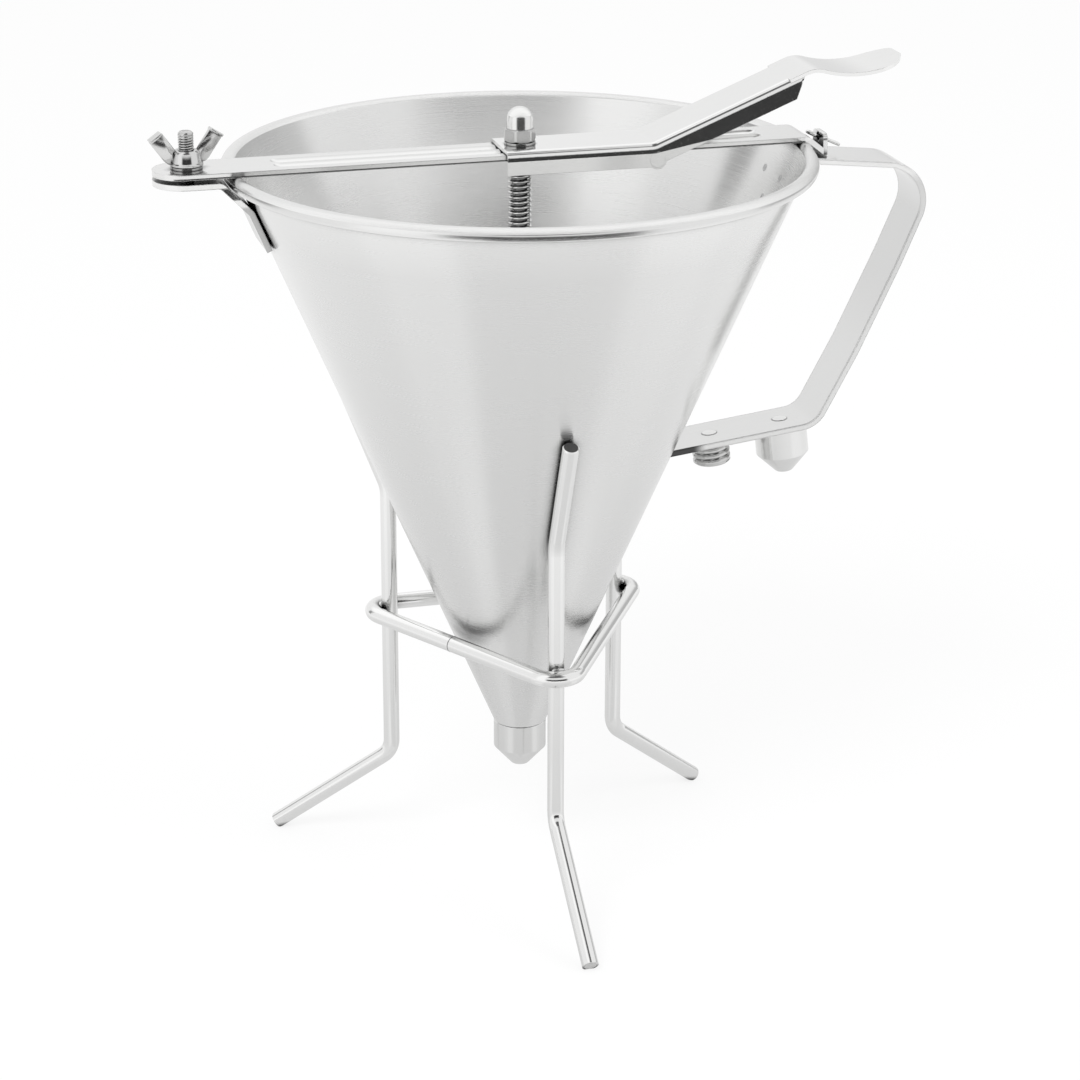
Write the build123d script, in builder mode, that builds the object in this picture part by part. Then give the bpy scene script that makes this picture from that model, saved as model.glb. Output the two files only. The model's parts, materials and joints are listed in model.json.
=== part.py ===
"""Confectionery funnel with a plunger valve, standing in a wire stand.

Millimetres, +Z up. The origin lies on the funnel's axis, on the surface that the stand stands on.
The handle points along +X, and the wing nut is at the -X end of the crossbar.
"""
import math
import os

from build123d import *

os.makedirs("parts", exist_ok=True)

# Funnel cone: rolled sheet with a rim turned over a wire
rim_diameter = 190.0
bead_diameter = 4.6
rim_height = 246.0
cone_sheet = 1.0
outlet_diameter = 17.6
outlet_height = 51.0

# Outlet spigot and the nozzles that screw on it
thread_diameter = 12.6
spigot_length = 8.0
spigot_bore = 8.0
seat_height = 6.0
seat_lip = 0.3
nozzle_cylinder = 9.6
nozzle_length = 16.0
nozzle_tip_diameter = 6.2
nozzle_orifice = 4.4
nozzle_land = 2.0
nozzle_inner_step = 0.7

# Crossbar: flat bar over the rim with two pressed beads, and a tongue bent down over the rim
bar_width = 19.0
bar_sheet = 1.8
bar_left_overhang = 22.5
tongue_turn = 38.0
tongue_width = 13.0
rib_depth = 1.0
rib_groove_radius = 4.9
rib_spacing = 6.0
rib_rim_gap = 15.0
rib_rod_gap = 5.0
rib_pivot_gap = 6.0

# Thumb lever: channel that straddles the crossbar
lever_sheet = 1.2
lever_left_reach = 6.8
lever_bend_x = 41.5
lever_bend_radius = 4.0
lever_incline = 22.0
lever_incline_length = 54.3
crest_radius = 9.0
crest_turn = 38.0
dish_radius = 40.0
dish_turn = 42.0
paddle_corner = 9.0
flange_depth = 7.7
flange_end_depth = 7.0
flange_end_setback = 6.1
channel_edge_radius = 2.2
pivot_x = 42.5
pivot_diameter = 2.6
pivot_ear_radius = 3.1
bush_wall = 0.8
lever_swing = 10.0

# Plunger rod with its cap nut and spring
rod_top_diameter = 5.0
rod_diameter = 10.0
rod_tip_diameter = 3.0
rod_in_nut = 7.0
nut_flats = 9.0
nut_hex_height = 4.2
nut_dome_diameter = 8.4
nut_dome_height = 7.0
lift_washer_diameter = 10.0
washer_sheet = 0.8
spring_outer_diameter = 7.8
spring_wire = 0.9
spring_pitch = 1.6
spring_turns = 17

# Clamp at the left end of the crossbar
strip_width = 20.0
bracket_sheet = 1.8
bracket_leaf_gap = 1.3
bracket_leg_drop = 24.0
bracket_bend_radius = 2.5
bracket_leaf_clear = 2.5
stud_diameter = 4.9
stud_overhang = 11.7
stud_height = 13.5
wing_washer_diameter = 10.0
wing_hub_diameter = 10.6
wing_hub_top_diameter = 8.4
wing_hub_height = 5.0
wing_span = 24.0
wing_lobe_radius = 2.7
wing_lobe_height = 8.6
wing_root_radius = 1.8
wing_thickness = 2.2
wing_turn = 10.0

# Handle: one bent strip
handle_sheet = 2.0
handle_leg_drop = 24.0
handle_leg_radius = 3.0
handle_arm_slope = 6.0
handle_top_overhang = 44.9
handle_top_radius = 13.0
grip_upper_overhang = 31.3
grip_upper_drop = 42.5
grip_lower_overhang = 17.6
grip_lower_drop = 71.5
grip_radius = 70.0
handle_bottom_overhang = 4.4
handle_bottom_drop = 96.0
handle_bottom_radius = 9.0
handle_lower_slope = 6.8
nozzle_stud_length = 8.0
stud_shank_diameter = 5.0
stud_head_height = 0.15
inner_stud_setback = 34.0
outer_stud_setback = 9.4

# Lug and split pin at the handle end of the crossbar
lug_overhang = 6.2
lug_sheet = 1.5
lug_width = 10.0
lug_pin_drop = 0.7
lug_margin = 2.1
pin_wire = 1.15
pin_leg_gap = 0.1
pin_eye_radius = 1.8
pin_neck = 0.6
pin_leg_length = 7.0
pin_tilt = 24.0

# Wire stand
wire_diameter = 5.4
leg_radius = 45.6
leg_names = ("front", "right", "left")
first_leg_angle = -90.0
leg_top_height = 167.5
leg_upper_bend = 14.0
leg_lower_bend = 8.0
foot_reach = 88.0
foot_slope = 37.0
foot_flat = 0.4
ring_height = 85.6
ring_corner_radius = 7.9
cut_end_chamfer = 0.4

# Clearances
weld_gap = 0.05
seat_gap = 0.15
face_gap = 0.1
pin_gap = 0.05
thread_gap = 0.05
rod_gap = 0.1
hole_gap = 0.25
lever_gap = 0.2
lever_side_gap = 0.4
cone_rest_gap = 0.3

# Lines that several pieces share
bead_radius = bead_diameter / 2
rim_radius = rim_diameter / 2
bead_circle = rim_radius - bead_radius
bead_height = rim_height - bead_radius
outlet_radius = outlet_diameter / 2
bar_top = rim_height + bar_sheet
bar_left_reach = rim_radius + bar_left_overhang
stud_x = -rim_radius - stud_overhang
lug_x = rim_radius + lug_overhang
lever_top = bar_top + lever_gap + lever_sheet
lever_width = bar_width + 2 * (lever_side_gap + lever_sheet)
pivot_height = rim_height - weld_gap - pivot_diameter / 2 - bush_wall
wall_run = math.hypot(bead_circle - outlet_radius, bead_height - outlet_height)
half_angle = math.atan2(bead_circle - outlet_radius, bead_height - outlet_height)
half_angle = half_angle - math.asin((bead_radius - cone_sheet) / wall_run)


def wall_radius(height, outside=0.0):
    """Radius, at a height, of a line that runs a distance outside the cone's outer face."""
    return outlet_radius + (height - outlet_height) * math.tan(half_angle) + outside / math.cos(half_angle)


def finish(piece, name):
    """Label a piece and write it."""
    piece.label = name
    export_step(piece, f"parts/{name}.step")


# Funnel cone: the wall's inner face runs tangent into the rolled rim
def on_bead(distance):
    """Point on the bead's radius that stands square to the wall."""
    return (bead_circle - distance * math.cos(half_angle), bead_height + distance * math.sin(half_angle))


with BuildPart() as funnel_cone:
    with BuildSketch(Plane.XZ):
        with BuildLine():
            Polyline(
                (outlet_radius, outlet_height),
                on_bead(bead_radius - cone_sheet),
                on_bead(bead_radius),
                (wall_radius(outlet_height, -cone_sheet), outlet_height),
                close=True,
            )
        make_face()
        with Locations((bead_circle, bead_height)):
            Circle(bead_radius)
    revolve(axis=Axis.Z)
finish(funnel_cone.part, "funnel_cone")

# Outlet spigot: collar in the cone's foot, with the plunger's seat and a threaded neck
seat_top = outlet_height + seat_height
seat_top_radius = wall_radius(seat_top, -cone_sheet - weld_gap) - seat_lip
seat_bottom = seat_top - (seat_top_radius - spigot_bore / 2)
with BuildPart() as outlet_spigot:
    with BuildSketch(Plane.XZ):
        with BuildLine():
            Polyline(
                (wall_radius(outlet_height, -cone_sheet - weld_gap), outlet_height),
                (seat_top_radius + seat_lip, seat_top),
                (seat_top_radius, seat_top),
                (spigot_bore / 2, seat_bottom),
                (spigot_bore / 2, outlet_height - spigot_length),
                (thread_diameter / 2, outlet_height - spigot_length),
                (thread_diameter / 2, outlet_height),
                close=True,
            )
        make_face()
    revolve(axis=Axis.Z)
finish(outlet_spigot.part, "outlet_spigot")


# Nozzles: the same turned piece on the spigot and on the handle's outer stud
def make_nozzle(top, outward):
    """Nozzle whose open face is centred on a point, with its tip along a direction."""
    side = Plane(origin=top, x_dir=Vector(0, 1, 0).cross(Vector(outward)), z_dir=(0, 1, 0))
    bore = thread_diameter / 2 + thread_gap
    depth = spigot_length + face_gap
    with BuildPart() as nozzle:
        with BuildSketch(side):
            with BuildLine():
                Polyline(
                    (bore, 0),
                    (outlet_radius, 0),
                    (outlet_radius, -nozzle_cylinder),
                    (nozzle_tip_diameter / 2, -nozzle_length),
                    (nozzle_orifice / 2, -nozzle_length),
                    (nozzle_orifice / 2, nozzle_land - nozzle_length),
                    (bore - nozzle_inner_step, -depth - nozzle_inner_step),
                    (bore, -depth),
                    close=True,
                )
            make_face()
        revolve(axis=Axis(top, outward))
    return nozzle.part


finish(make_nozzle((0, 0, outlet_height - face_gap), (0, 0, -1)), "outlet_nozzle")

# Crossbar: rounded left end, two pressed beads, two holes, and a narrowing tongue up to the lug
rib_axis = bar_top + rib_groove_radius - rib_depth
rib_end = math.sqrt(rib_groove_radius**2 - (rib_groove_radius - rib_depth) ** 2)
rib_rows = (-rib_spacing / 2, rib_spacing / 2)
rib_spans = (
    (rib_rim_gap - rim_radius, -rib_rod_gap),
    (pivot_x + rib_pivot_gap, rim_radius - rib_rim_gap),
)


def capsules(radius, mode):
    """Round-ended rods along the bar, one for each stretch of pressed bead."""
    for start, end in rib_spans:
        length = end - start - 2 * rib_end
        for row in rib_rows:
            with Locations(((start + end) / 2, row, rib_axis)):
                Cylinder(radius, length, rotation=(0, 90, 0), mode=mode)
            with Locations((start + rib_end, row, rib_axis), (end - rib_end, row, rib_axis)):
                Sphere(radius, mode=mode)


bar_centre = rim_height + bar_sheet / 2
tongue_end = lug_x - lug_sheet / 2 - hole_gap
with BuildPart() as crossbar:
    with BuildSketch(Plane.XZ):
        with BuildLine():
            bar_line = Line((-bar_left_reach, bar_centre), (bead_circle, bar_centre))
            over_rim = JernArc(bar_line @ 1, (1, 0), bead_radius + face_gap + bar_sheet / 2, -tongue_turn)
            PolarLine(over_rim @ 1, bar_width, -tongue_turn)
        trace(line_width=bar_sheet)
    extrude(amount=bar_width / 2, both=True)
    with BuildSketch(Plane.XY):
        with BuildLine():
            round_end = ThreePointArc(
                (bar_width / 2 - bar_left_reach, bar_width / 2),
                (-bar_left_reach, 0),
                (bar_width / 2 - bar_left_reach, -bar_width / 2),
            )
            Polyline(
                round_end @ 1,
                (bead_circle, -bar_width / 2),
                (tongue_end, -tongue_width / 2),
                (tongue_end, tongue_width / 2),
                (bead_circle, bar_width / 2),
                round_end @ 0,
            )
        make_face()
    extrude(amount=2 * rim_height, mode=Mode.INTERSECT)
    capsules(rib_groove_radius + bar_sheet, Mode.ADD)
    split(bisect_by=Plane.XY.offset(bar_top), keep=Keep.BOTTOM)
    capsules(rib_groove_radius, Mode.SUBTRACT)
    with BuildSketch(Plane.XY.offset(rim_height)):
        Circle(rod_top_diameter / 2 + rod_gap)
        with Locations((stud_x, 0)):
            Circle(stud_diameter / 2 + hole_gap)
    extrude(amount=bar_sheet, mode=Mode.SUBTRACT)
finish(crossbar.part, "crossbar")

# Pivot bush welded under the crossbar
with BuildPart() as pivot_bush:
    with BuildSketch(Plane.XZ):
        with Locations((pivot_x, pivot_height)):
            Circle(pivot_diameter / 2 + bush_wall)
            Circle(pivot_diameter / 2 + pin_gap, mode=Mode.SUBTRACT)
    extrude(amount=bar_width / 2, both=True)
finish(pivot_bush.part, "pivot_bush")

# Thumb lever: channel with rounded edges, a dished paddle and a slot for the rod
lever_centre = lever_top - lever_sheet / 2
incline_turn = math.radians(lever_incline)


def channel_line(below):
    """Bent line that runs a distance below the lever's upper face, and the point where it ends."""
    corner_x = lever_bend_x + below * math.tan(incline_turn / 2)
    radius = lever_bend_radius + below
    run = radius * math.tan(incline_turn / 2)
    flat = Line((-lever_left_reach, lever_top - below), (corner_x - run, lever_top - below))
    bend = JernArc(flat @ 1, (1, 0), radius, lever_incline)
    return flat, PolarLine(bend @ 1, lever_incline_length - run, lever_incline)


up_incline = Vector(1, 0).rotate(Axis.Z, lever_incline)
below_incline = Vector(0, -1).rotate(Axis.Z, lever_incline)
flange_low = lever_top - flange_depth
with BuildPart() as thumb_lever:
    with BuildSketch(Plane.XZ):
        with BuildLine():
            flat, incline = channel_line(0)
            incline_end = incline @ 1 + below_incline * (lever_sheet / 2)
            flange_foot = incline @ 1 - up_incline * flange_end_setback + below_incline * flange_end_depth
            flange_knee = flange_foot + up_incline * ((flange_low - flange_foot.Y) / up_incline.Y)
            Polyline(incline @ 1, flange_foot, flange_knee, (-lever_left_reach, flange_low), flat @ 0)
        make_face()
        with Locations((pivot_x, pivot_height)):
            Circle(pivot_ear_radius)
            Circle(pivot_diameter / 2 + thread_gap, mode=Mode.SUBTRACT)
    extrude(amount=lever_width / 2, both=True)
    long_edges = []
    for edge in thumb_lever.edges():
        middle = edge @ 0.5
        rise = max(0, middle.X - lever_bend_x) * math.tan(incline_turn)
        on_side = abs(middle.Y) > lever_width / 2 - weld_gap
        if on_side and edge.length > lever_sheet and middle.Z > lever_centre + rise:
            long_edges.append(edge)
    fillet(long_edges, channel_edge_radius)
    with BuildSketch(Plane.XZ):
        with BuildLine():
            flat, incline = channel_line(lever_sheet)
            past_end = incline @ 1 + up_incline * lever_width
            Polyline(incline @ 1, past_end, (past_end.X, 0), (-lever_left_reach, 0), flat @ 0)
        make_face()
    extrude(amount=lever_width / 2 - lever_sheet, both=True, mode=Mode.SUBTRACT)
    with BuildSketch(Plane.XZ):
        with BuildLine():
            neck = Line(incline_end - up_incline * flange_end_setback, incline_end)
            crest = JernArc(neck @ 1, neck % 1, crest_radius, -crest_turn)
            dish = JernArc(crest @ 1, crest % 1, dish_radius, dish_turn)
        trace(line_width=lever_sheet)
    extrude(amount=lever_width / 2, both=True)
    paddle_tip = (dish @ 1).X
    with BuildSketch(Plane.XY):
        with BuildLine():
            FilletPolyline(
                (-lever_left_reach, -lever_width / 2),
                (paddle_tip, -lever_width / 2),
                (paddle_tip, lever_width / 2),
                (-lever_left_reach, lever_width / 2),
                radius=paddle_corner,
            )
            Line((-lever_left_reach, lever_width / 2), (-lever_left_reach, -lever_width / 2))
        make_face()
    extrude(amount=2 * rim_height, mode=Mode.INTERSECT)
    slide_back = (lever_top - pivot_height) * math.sin(math.radians(lever_swing))
    slide_back = slide_back + pivot_x * (1 - math.cos(math.radians(lever_swing)))
    slot_width = rod_top_diameter + 4 * rod_gap
    with BuildSketch(Plane.XY.offset(bar_top)):
        with Locations((-slide_back / 2, 0)):
            SlotCenterToCenter(slide_back, slot_width)
    extrude(amount=lever_gap + 2 * lever_sheet, mode=Mode.SUBTRACT)
finish(thumb_lever.part, "thumb_lever")

# Pivot pin: flush in the lever's flanges
with BuildPart() as pivot_pin:
    with BuildSketch(Plane.XZ):
        with Locations((pivot_x, pivot_height)):
            Circle(pivot_diameter / 2)
    extrude(amount=lever_width / 2, both=True)
finish(pivot_pin.part, "pivot_pin")


# Washers
def make_washer(x, bottom, outer, inner):
    """Flat washer lying level on a height."""
    with BuildPart() as washer:
        with BuildSketch(Plane.XY.offset(bottom)):
            with Locations((x, 0)):
                Circle(outer / 2)
                Circle(inner / 2 + hole_gap, mode=Mode.SUBTRACT)
        extrude(amount=washer_sheet)
    return washer.part


lift_washer_bottom = lever_top + weld_gap
finish(make_washer(0, lift_washer_bottom, lift_washer_diameter, rod_top_diameter), "lift_washer")
clamp_washer_bottom = bar_top + weld_gap
finish(make_washer(stud_x, clamp_washer_bottom, wing_washer_diameter, stud_diameter), "clamp_washer")

# Cap nut: chamfered hexagon with a dome and a blind hole for the rod
nut_bottom = lift_washer_bottom + washer_sheet
nut_top = nut_bottom + nut_hex_height + nut_dome_height
nut_corner = nut_flats / math.sqrt(3)
nut_chamfer = nut_corner - nut_flats / 2
with BuildPart() as acorn_nut:
    with BuildSketch(Plane.XY.offset(nut_bottom)):
        RegularPolygon(nut_corner, 6)
    extrude(amount=nut_hex_height)
    with BuildSketch(Plane.XZ):
        with BuildLine():
            Polyline(
                (0, nut_bottom),
                (nut_flats / 2, nut_bottom),
                (nut_corner, nut_bottom + nut_chamfer),
                (nut_corner, nut_bottom + nut_hex_height - nut_chamfer),
                (nut_flats / 2, nut_bottom + nut_hex_height),
                (0, nut_bottom + nut_hex_height),
                close=True,
            )
        make_face()
    revolve(axis=Axis.Z, mode=Mode.INTERSECT)
    with BuildSketch(Plane.XZ):
        with BuildLine():
            dome_base = nut_bottom + nut_hex_height
            dome_radius = nut_dome_diameter / 2
            shoulder = Line((dome_radius, dome_base), (dome_radius, nut_top - dome_radius))
            cap = JernArc(shoulder @ 1, (0, 1), dome_radius, 90)
            Polyline(cap @ 1, (0, dome_base), shoulder @ 0)
        make_face()
    revolve(axis=Axis.Z)
    with BuildSketch(Plane.XY.offset(nut_bottom)):
        Circle(rod_top_diameter / 2 + thread_gap)
    extrude(amount=rod_in_nut + face_gap, mode=Mode.SUBTRACT)
finish(acorn_nut.part, "acorn_nut")

# Return spring: one helix of half-turn biarcs between the crossbar and the rod's shoulder
spring_radius = (spring_outer_diameter - spring_wire) / 2
spring_top = rim_height - weld_gap - spring_wire / 2
spring_bottom = spring_top - spring_turns * spring_pitch


def on_helix(half_turns):
    """Point and direction of the spring's wire after a number of half turns."""
    angle = math.pi * half_turns
    point = Vector(
        spring_radius * math.cos(angle),
        spring_radius * math.sin(angle),
        spring_bottom + spring_pitch * half_turns / 2,
    )
    along = Vector(-math.sin(angle), math.cos(angle), spring_pitch / (2 * math.pi * spring_radius))
    return point, along.normalized()


def biarc(start, start_tangent, end, end_tangent):
    """Two tangent arcs that join two points in two directions."""
    chord = end - start
    both = start_tangent + end_tangent
    spread = 2 * (1 - start_tangent.dot(end_tangent))
    reach = (-chord.dot(both) + math.sqrt(chord.dot(both) ** 2 + spread * chord.dot(chord))) / spread
    first_corner = start + start_tangent * reach
    last_corner = end - end_tangent * reach
    middle = (first_corner + last_corner) * 0.5
    TangentArc(start, middle, tangent=start_tangent)
    TangentArc(middle, end, tangent=last_corner - first_corner)


with BuildPart() as return_spring:
    with BuildLine() as spring_line:
        for half_turn in range(2 * spring_turns):
            biarc(*on_helix(half_turn), *on_helix(half_turn + 1))
    with BuildSketch(Plane(on_helix(0)[0], z_dir=on_helix(0)[1])):
        Circle(spring_wire / 2)
    sweep(path=spring_line.line)
finish(return_spring.part, "return_spring")

samples_per_turn = 24
least_gap = spring_pitch
first_turn = [on_helix(2 * step / samples_per_turn)[0] for step in range(samples_per_turn)]
next_turns = [on_helix(1 + 2 * step / samples_per_turn)[0] for step in range(2 * samples_per_turn)]
for point in first_turn[:2]:
    for other in next_turns:
        least_gap = min(least_gap, (other - point).length - spring_wire)
print(f"return_spring: least gap between turns {least_gap:.2f} mm")

# Plunger rod: slim threaded top, spring shoulder, thick stem and a conical tip on the seat
rod_radius = rod_diameter / 2
seat_lift = seat_gap * math.sqrt(2)
tip_cone_top = seat_bottom + rod_radius - spigot_bore / 2 + seat_lift
tip_bottom = tip_cone_top - rod_radius + rod_tip_diameter / 2
rod_shoulder = spring_bottom - spring_wire / 2 - weld_gap
with BuildPart() as plunger_rod:
    with BuildSketch(Plane.XZ):
        with BuildLine():
            Polyline(
                (0, tip_bottom),
                (rod_tip_diameter / 2, tip_bottom),
                (rod_radius, tip_cone_top),
                (rod_radius, rod_shoulder),
                (rod_top_diameter / 2, rod_shoulder),
                (rod_top_diameter / 2, nut_bottom + rod_in_nut),
                (0, nut_bottom + rod_in_nut),
                close=True,
            )
        make_face()
    revolve(axis=Axis.Z)
finish(plunger_rod.part, "plunger_rod")

# Clamp bracket: leaf under the bar, bent round the rim and down the cone's wall
leaf_centre = rim_height - bracket_leaf_gap - bracket_sheet / 2
bracket_outside = weld_gap + bracket_sheet / 2
bracket_bend_z = rim_height - 2.5 * bead_diameter
bracket_leg_z = rim_height - bracket_leg_drop
leaf_end = rim_radius + bracket_leaf_clear
with BuildPart() as clamp_bracket:
    with BuildSketch(Plane.XZ):
        with BuildLine():
            FilletPolyline(
                (-bar_left_reach, leaf_centre),
                (-leaf_end, leaf_centre),
                (-wall_radius(bracket_bend_z, bracket_outside), bracket_bend_z),
                (-wall_radius(bracket_leg_z, bracket_outside), bracket_leg_z),
                radius=bracket_bend_radius,
            )
        trace(line_width=bracket_sheet)
    extrude(amount=strip_width / 2, both=True)
    with BuildSketch(Plane.XY.offset(bracket_leg_z - strip_width)):
        with BuildLine():
            leaf_arc = ThreePointArc(
                (strip_width / 2 - bar_left_reach, strip_width / 2),
                (-bar_left_reach, 0),
                (strip_width / 2 - bar_left_reach, -strip_width / 2),
            )
            Polyline(leaf_arc @ 1, (0, -strip_width / 2), (0, strip_width / 2), leaf_arc @ 0)
        make_face()
    extrude(amount=rim_height, mode=Mode.INTERSECT)
    with BuildSketch(Plane.XY.offset(leaf_centre - bracket_sheet)):
        with Locations((stud_x, 0)):
            Circle(stud_diameter / 2 + thread_gap)
    extrude(amount=2 * bracket_sheet, mode=Mode.SUBTRACT)
finish(clamp_bracket.part, "clamp_bracket")

# Clamp stud: stands in the bracket's leaf and passes through the bar
with BuildPart() as clamp_stud:
    with BuildSketch(Plane.XY.offset(leaf_centre - bracket_sheet / 2)):
        with Locations((stud_x, 0)):
            Circle(stud_diameter / 2)
    extrude(amount=stud_height + bracket_leaf_gap + bracket_sheet)
    chamfer(clamp_stud.faces().sort_by(Axis.Z)[-1].edges(), stud_diameter / 8)
finish(clamp_stud.part, "clamp_stud")

# Wing nut: tapered hub and two lobed wings, turned a little from the bar
wing_bottom = clamp_washer_bottom + washer_sheet
wing_plane = Plane(origin=(stud_x, 0, wing_bottom)).rotated((0, 0, wing_turn))
wing_side = Plane(origin=wing_plane.origin, x_dir=wing_plane.x_dir, z_dir=-wing_plane.y_dir)
wing_lobe = wing_span / 2 - wing_lobe_radius
wing_root = wing_hub_top_diameter / 2 - wing_root_radius
with BuildPart() as wing_nut:
    with BuildSketch(wing_side):
        with Locations((wing_lobe, wing_lobe_height)):
            Circle(wing_lobe_radius)
        with Locations(
            (wing_root, wing_hub_height - wing_root_radius),
            (wing_root, wing_root_radius),
        ):
            Circle(wing_root_radius)
        make_hull()
    extrude(amount=wing_thickness / 2, both=True)
    mirror(about=Plane(origin=wing_plane.origin, z_dir=wing_plane.x_dir))
    with BuildSketch(wing_plane):
        Circle(wing_hub_diameter / 2)
    with BuildSketch(wing_plane.offset(wing_hub_height)):
        Circle(wing_hub_top_diameter / 2)
    loft()
    with BuildSketch(wing_plane):
        Circle(stud_diameter / 2 + thread_gap)
    extrude(amount=wing_span, mode=Mode.SUBTRACT)
finish(wing_nut.part, "wing_nut")

# Handle: leg under the rim, upper arm, grip, and a lower arm whose end is cut to the cone
handle_outside = weld_gap + handle_sheet / 2
arm_start_z = rim_height - bead_diameter - handle_sheet / 2 - face_gap
arm_fall = math.tan(math.radians(handle_arm_slope))
handle_leg_z = rim_height - handle_leg_drop
lower_rise = math.tan(math.radians(handle_lower_slope))
handle_bottom_z = rim_height - handle_bottom_drop
wall_slope = math.tan(half_angle)
handle_bottom_reach = rim_radius + handle_bottom_overhang
lower_reach = wall_radius(handle_bottom_z) - handle_bottom_overhang - bead_diameter
lower_length = handle_bottom_reach - lower_reach
handle_top_reach = rim_radius + handle_top_overhang
top_arm_x = wall_radius(arm_start_z, handle_outside)
handle_points = [
    (wall_radius(handle_leg_z, handle_outside), handle_leg_z),
    (top_arm_x, arm_start_z),
    (handle_top_reach, arm_start_z - (handle_top_reach - top_arm_x) * arm_fall),
    (rim_radius + grip_upper_overhang, rim_height - grip_upper_drop),
    (rim_radius + grip_lower_overhang, rim_height - grip_lower_drop),
    (handle_bottom_reach, handle_bottom_z),
    (lower_reach, handle_bottom_z - lower_length * lower_rise),
]
handle_radii = [
    handle_leg_radius,
    handle_top_radius,
    grip_radius,
    grip_radius,
    handle_bottom_radius,
]
lower_tilt = math.radians(handle_lower_slope)
lower_down = Vector(math.sin(lower_tilt), 0, -math.cos(lower_tilt))


def under_arm(x):
    """Point on the underside of the lower arm, at a distance from the funnel's axis."""
    height = handle_bottom_z - (handle_bottom_reach - x) * lower_rise
    return Vector(x, 0, height) + lower_down * (handle_sheet / 2)


inner_stud_x = handle_bottom_reach - inner_stud_setback
outer_stud_x = handle_bottom_reach - outer_stud_setback
cope_top = handle_bottom_z + strip_width
cope_bottom = handle_bottom_z - strip_width
with BuildPart() as handle:
    with BuildSketch(Plane.XZ):
        with BuildLine():
            FilletPolyline(*handle_points, radius=handle_radii)
        trace(line_width=handle_sheet)
    extrude(amount=strip_width / 2, both=True)
    with BuildSketch(Plane.XZ):
        with BuildLine():
            Polyline(
                (0, cope_bottom),
                (wall_radius(cope_bottom, weld_gap), cope_bottom),
                (wall_radius(cope_top, weld_gap), cope_top),
                (0, cope_top),
                close=True,
            )
        make_face()
    revolve(axis=Axis.Z, mode=Mode.SUBTRACT)
    for x in (inner_stud_x, outer_stud_x):
        with BuildSketch(Plane(origin=under_arm(x), x_dir=(0, 1, 0), z_dir=-lower_down)):
            Circle(stud_shank_diameter / 2 + weld_gap)
        extrude(amount=2 * handle_sheet, both=True, mode=Mode.SUBTRACT)
finish(handle.part, "handle")


# Nozzle studs: threaded body under the arm, shank through it, low riveted head on top
def make_nozzle_stud(x):
    """Stud riveted in the lower arm."""
    seat = under_arm(x) + lower_down * weld_gap
    with BuildPart() as stud:
        with BuildSketch(Plane(origin=seat, x_dir=(0, 1, 0), z_dir=lower_down)):
            Circle(thread_diameter / 2)
        extrude(amount=nozzle_stud_length)
        chamfer(stud.faces().sort_by(Axis.Z)[0].edges(), cut_end_chamfer)
        with BuildSketch(Plane(origin=seat, x_dir=(0, 1, 0), z_dir=-lower_down)):
            Circle(stud_shank_diameter / 2)
        extrude(amount=handle_sheet + weld_gap + stud_head_height)
        chamfer(stud.faces().sort_by(Axis.Z)[-1].edges(), stud_head_height / 2)
    return stud.part


finish(make_nozzle_stud(inner_stud_x), "nozzle_stud_inner")
finish(make_nozzle_stud(outer_stud_x), "nozzle_stud_outer")
finish(make_nozzle(under_arm(outer_stud_x) + lower_down * face_gap, lower_down), "spare_nozzle")

# Latch lug: stands on the upper arm, at the end of the crossbar's tongue
pin_height = rim_height - lug_pin_drop
pin_turn = math.radians(pin_tilt)
pin_along = Vector(math.cos(pin_turn), 0, -math.sin(pin_turn))
pin_up = Vector(math.sin(pin_turn), 0, math.cos(pin_turn))
pin_plane = Plane(origin=(lug_x, 0, pin_height), x_dir=pin_along, z_dir=pin_up)
pin_leg_offset = (pin_wire + pin_leg_gap) / 2
pin_hole = pin_leg_offset + pin_wire / 2 + hole_gap
lug_inner = lug_x - lug_sheet / 2
arm_half = handle_sheet / 2 / math.cos(math.radians(handle_arm_slope))
lug_bottom = arm_start_z - (lug_inner - top_arm_x) * arm_fall + arm_half + weld_gap
with BuildPart() as latch_lug:
    with BuildSketch(Plane.YZ.offset(lug_inner)):
        with BuildLine():
            FilletPolyline(
                (-lug_width / 2, lug_bottom),
                (-lug_width / 2, pin_height + lug_margin),
                (lug_width / 2, pin_height + lug_margin),
                (lug_width / 2, lug_bottom),
                radius=lug_margin,
            )
            Line((lug_width / 2, lug_bottom), (-lug_width / 2, lug_bottom))
        make_face()
    extrude(amount=lug_sheet)
    with BuildSketch(Plane(origin=pin_plane.origin, x_dir=(0, 1, 0), z_dir=pin_along)):
        Circle(pin_hole)
    extrude(amount=2 * lug_sheet, both=True, mode=Mode.SUBTRACT)
finish(latch_lug.part, "latch_lug")

# Split pin: two legs through the lug and an eye that lies over the tongue
eye_half = math.asin(pin_leg_offset / pin_eye_radius)
neck_x = -pin_neck - lug_sheet / 2
eye_centre = neck_x - pin_eye_radius * math.cos(eye_half)
with BuildPart() as split_pin:
    with BuildLine(pin_plane) as eye_line:
        ThreePointArc(
            (neck_x, pin_leg_offset),
            (eye_centre - pin_eye_radius, 0),
            (neck_x, -pin_leg_offset),
        )
    with BuildSketch(Plane(origin=eye_line.line @ 0, z_dir=eye_line.line % 0)):
        Circle(pin_wire / 2)
    sweep(path=eye_line.line)
    for neck in (eye_line.line @ 0, eye_line.line @ 1):
        with Locations(neck):
            Sphere(pin_wire / 2)
        with BuildSketch(Plane(origin=neck, x_dir=(0, 1, 0), z_dir=pin_along)):
            Circle(pin_wire / 2)
        extrude(amount=pin_leg_length - neck_x)
finish(split_pin.part, "split_pin")

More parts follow.
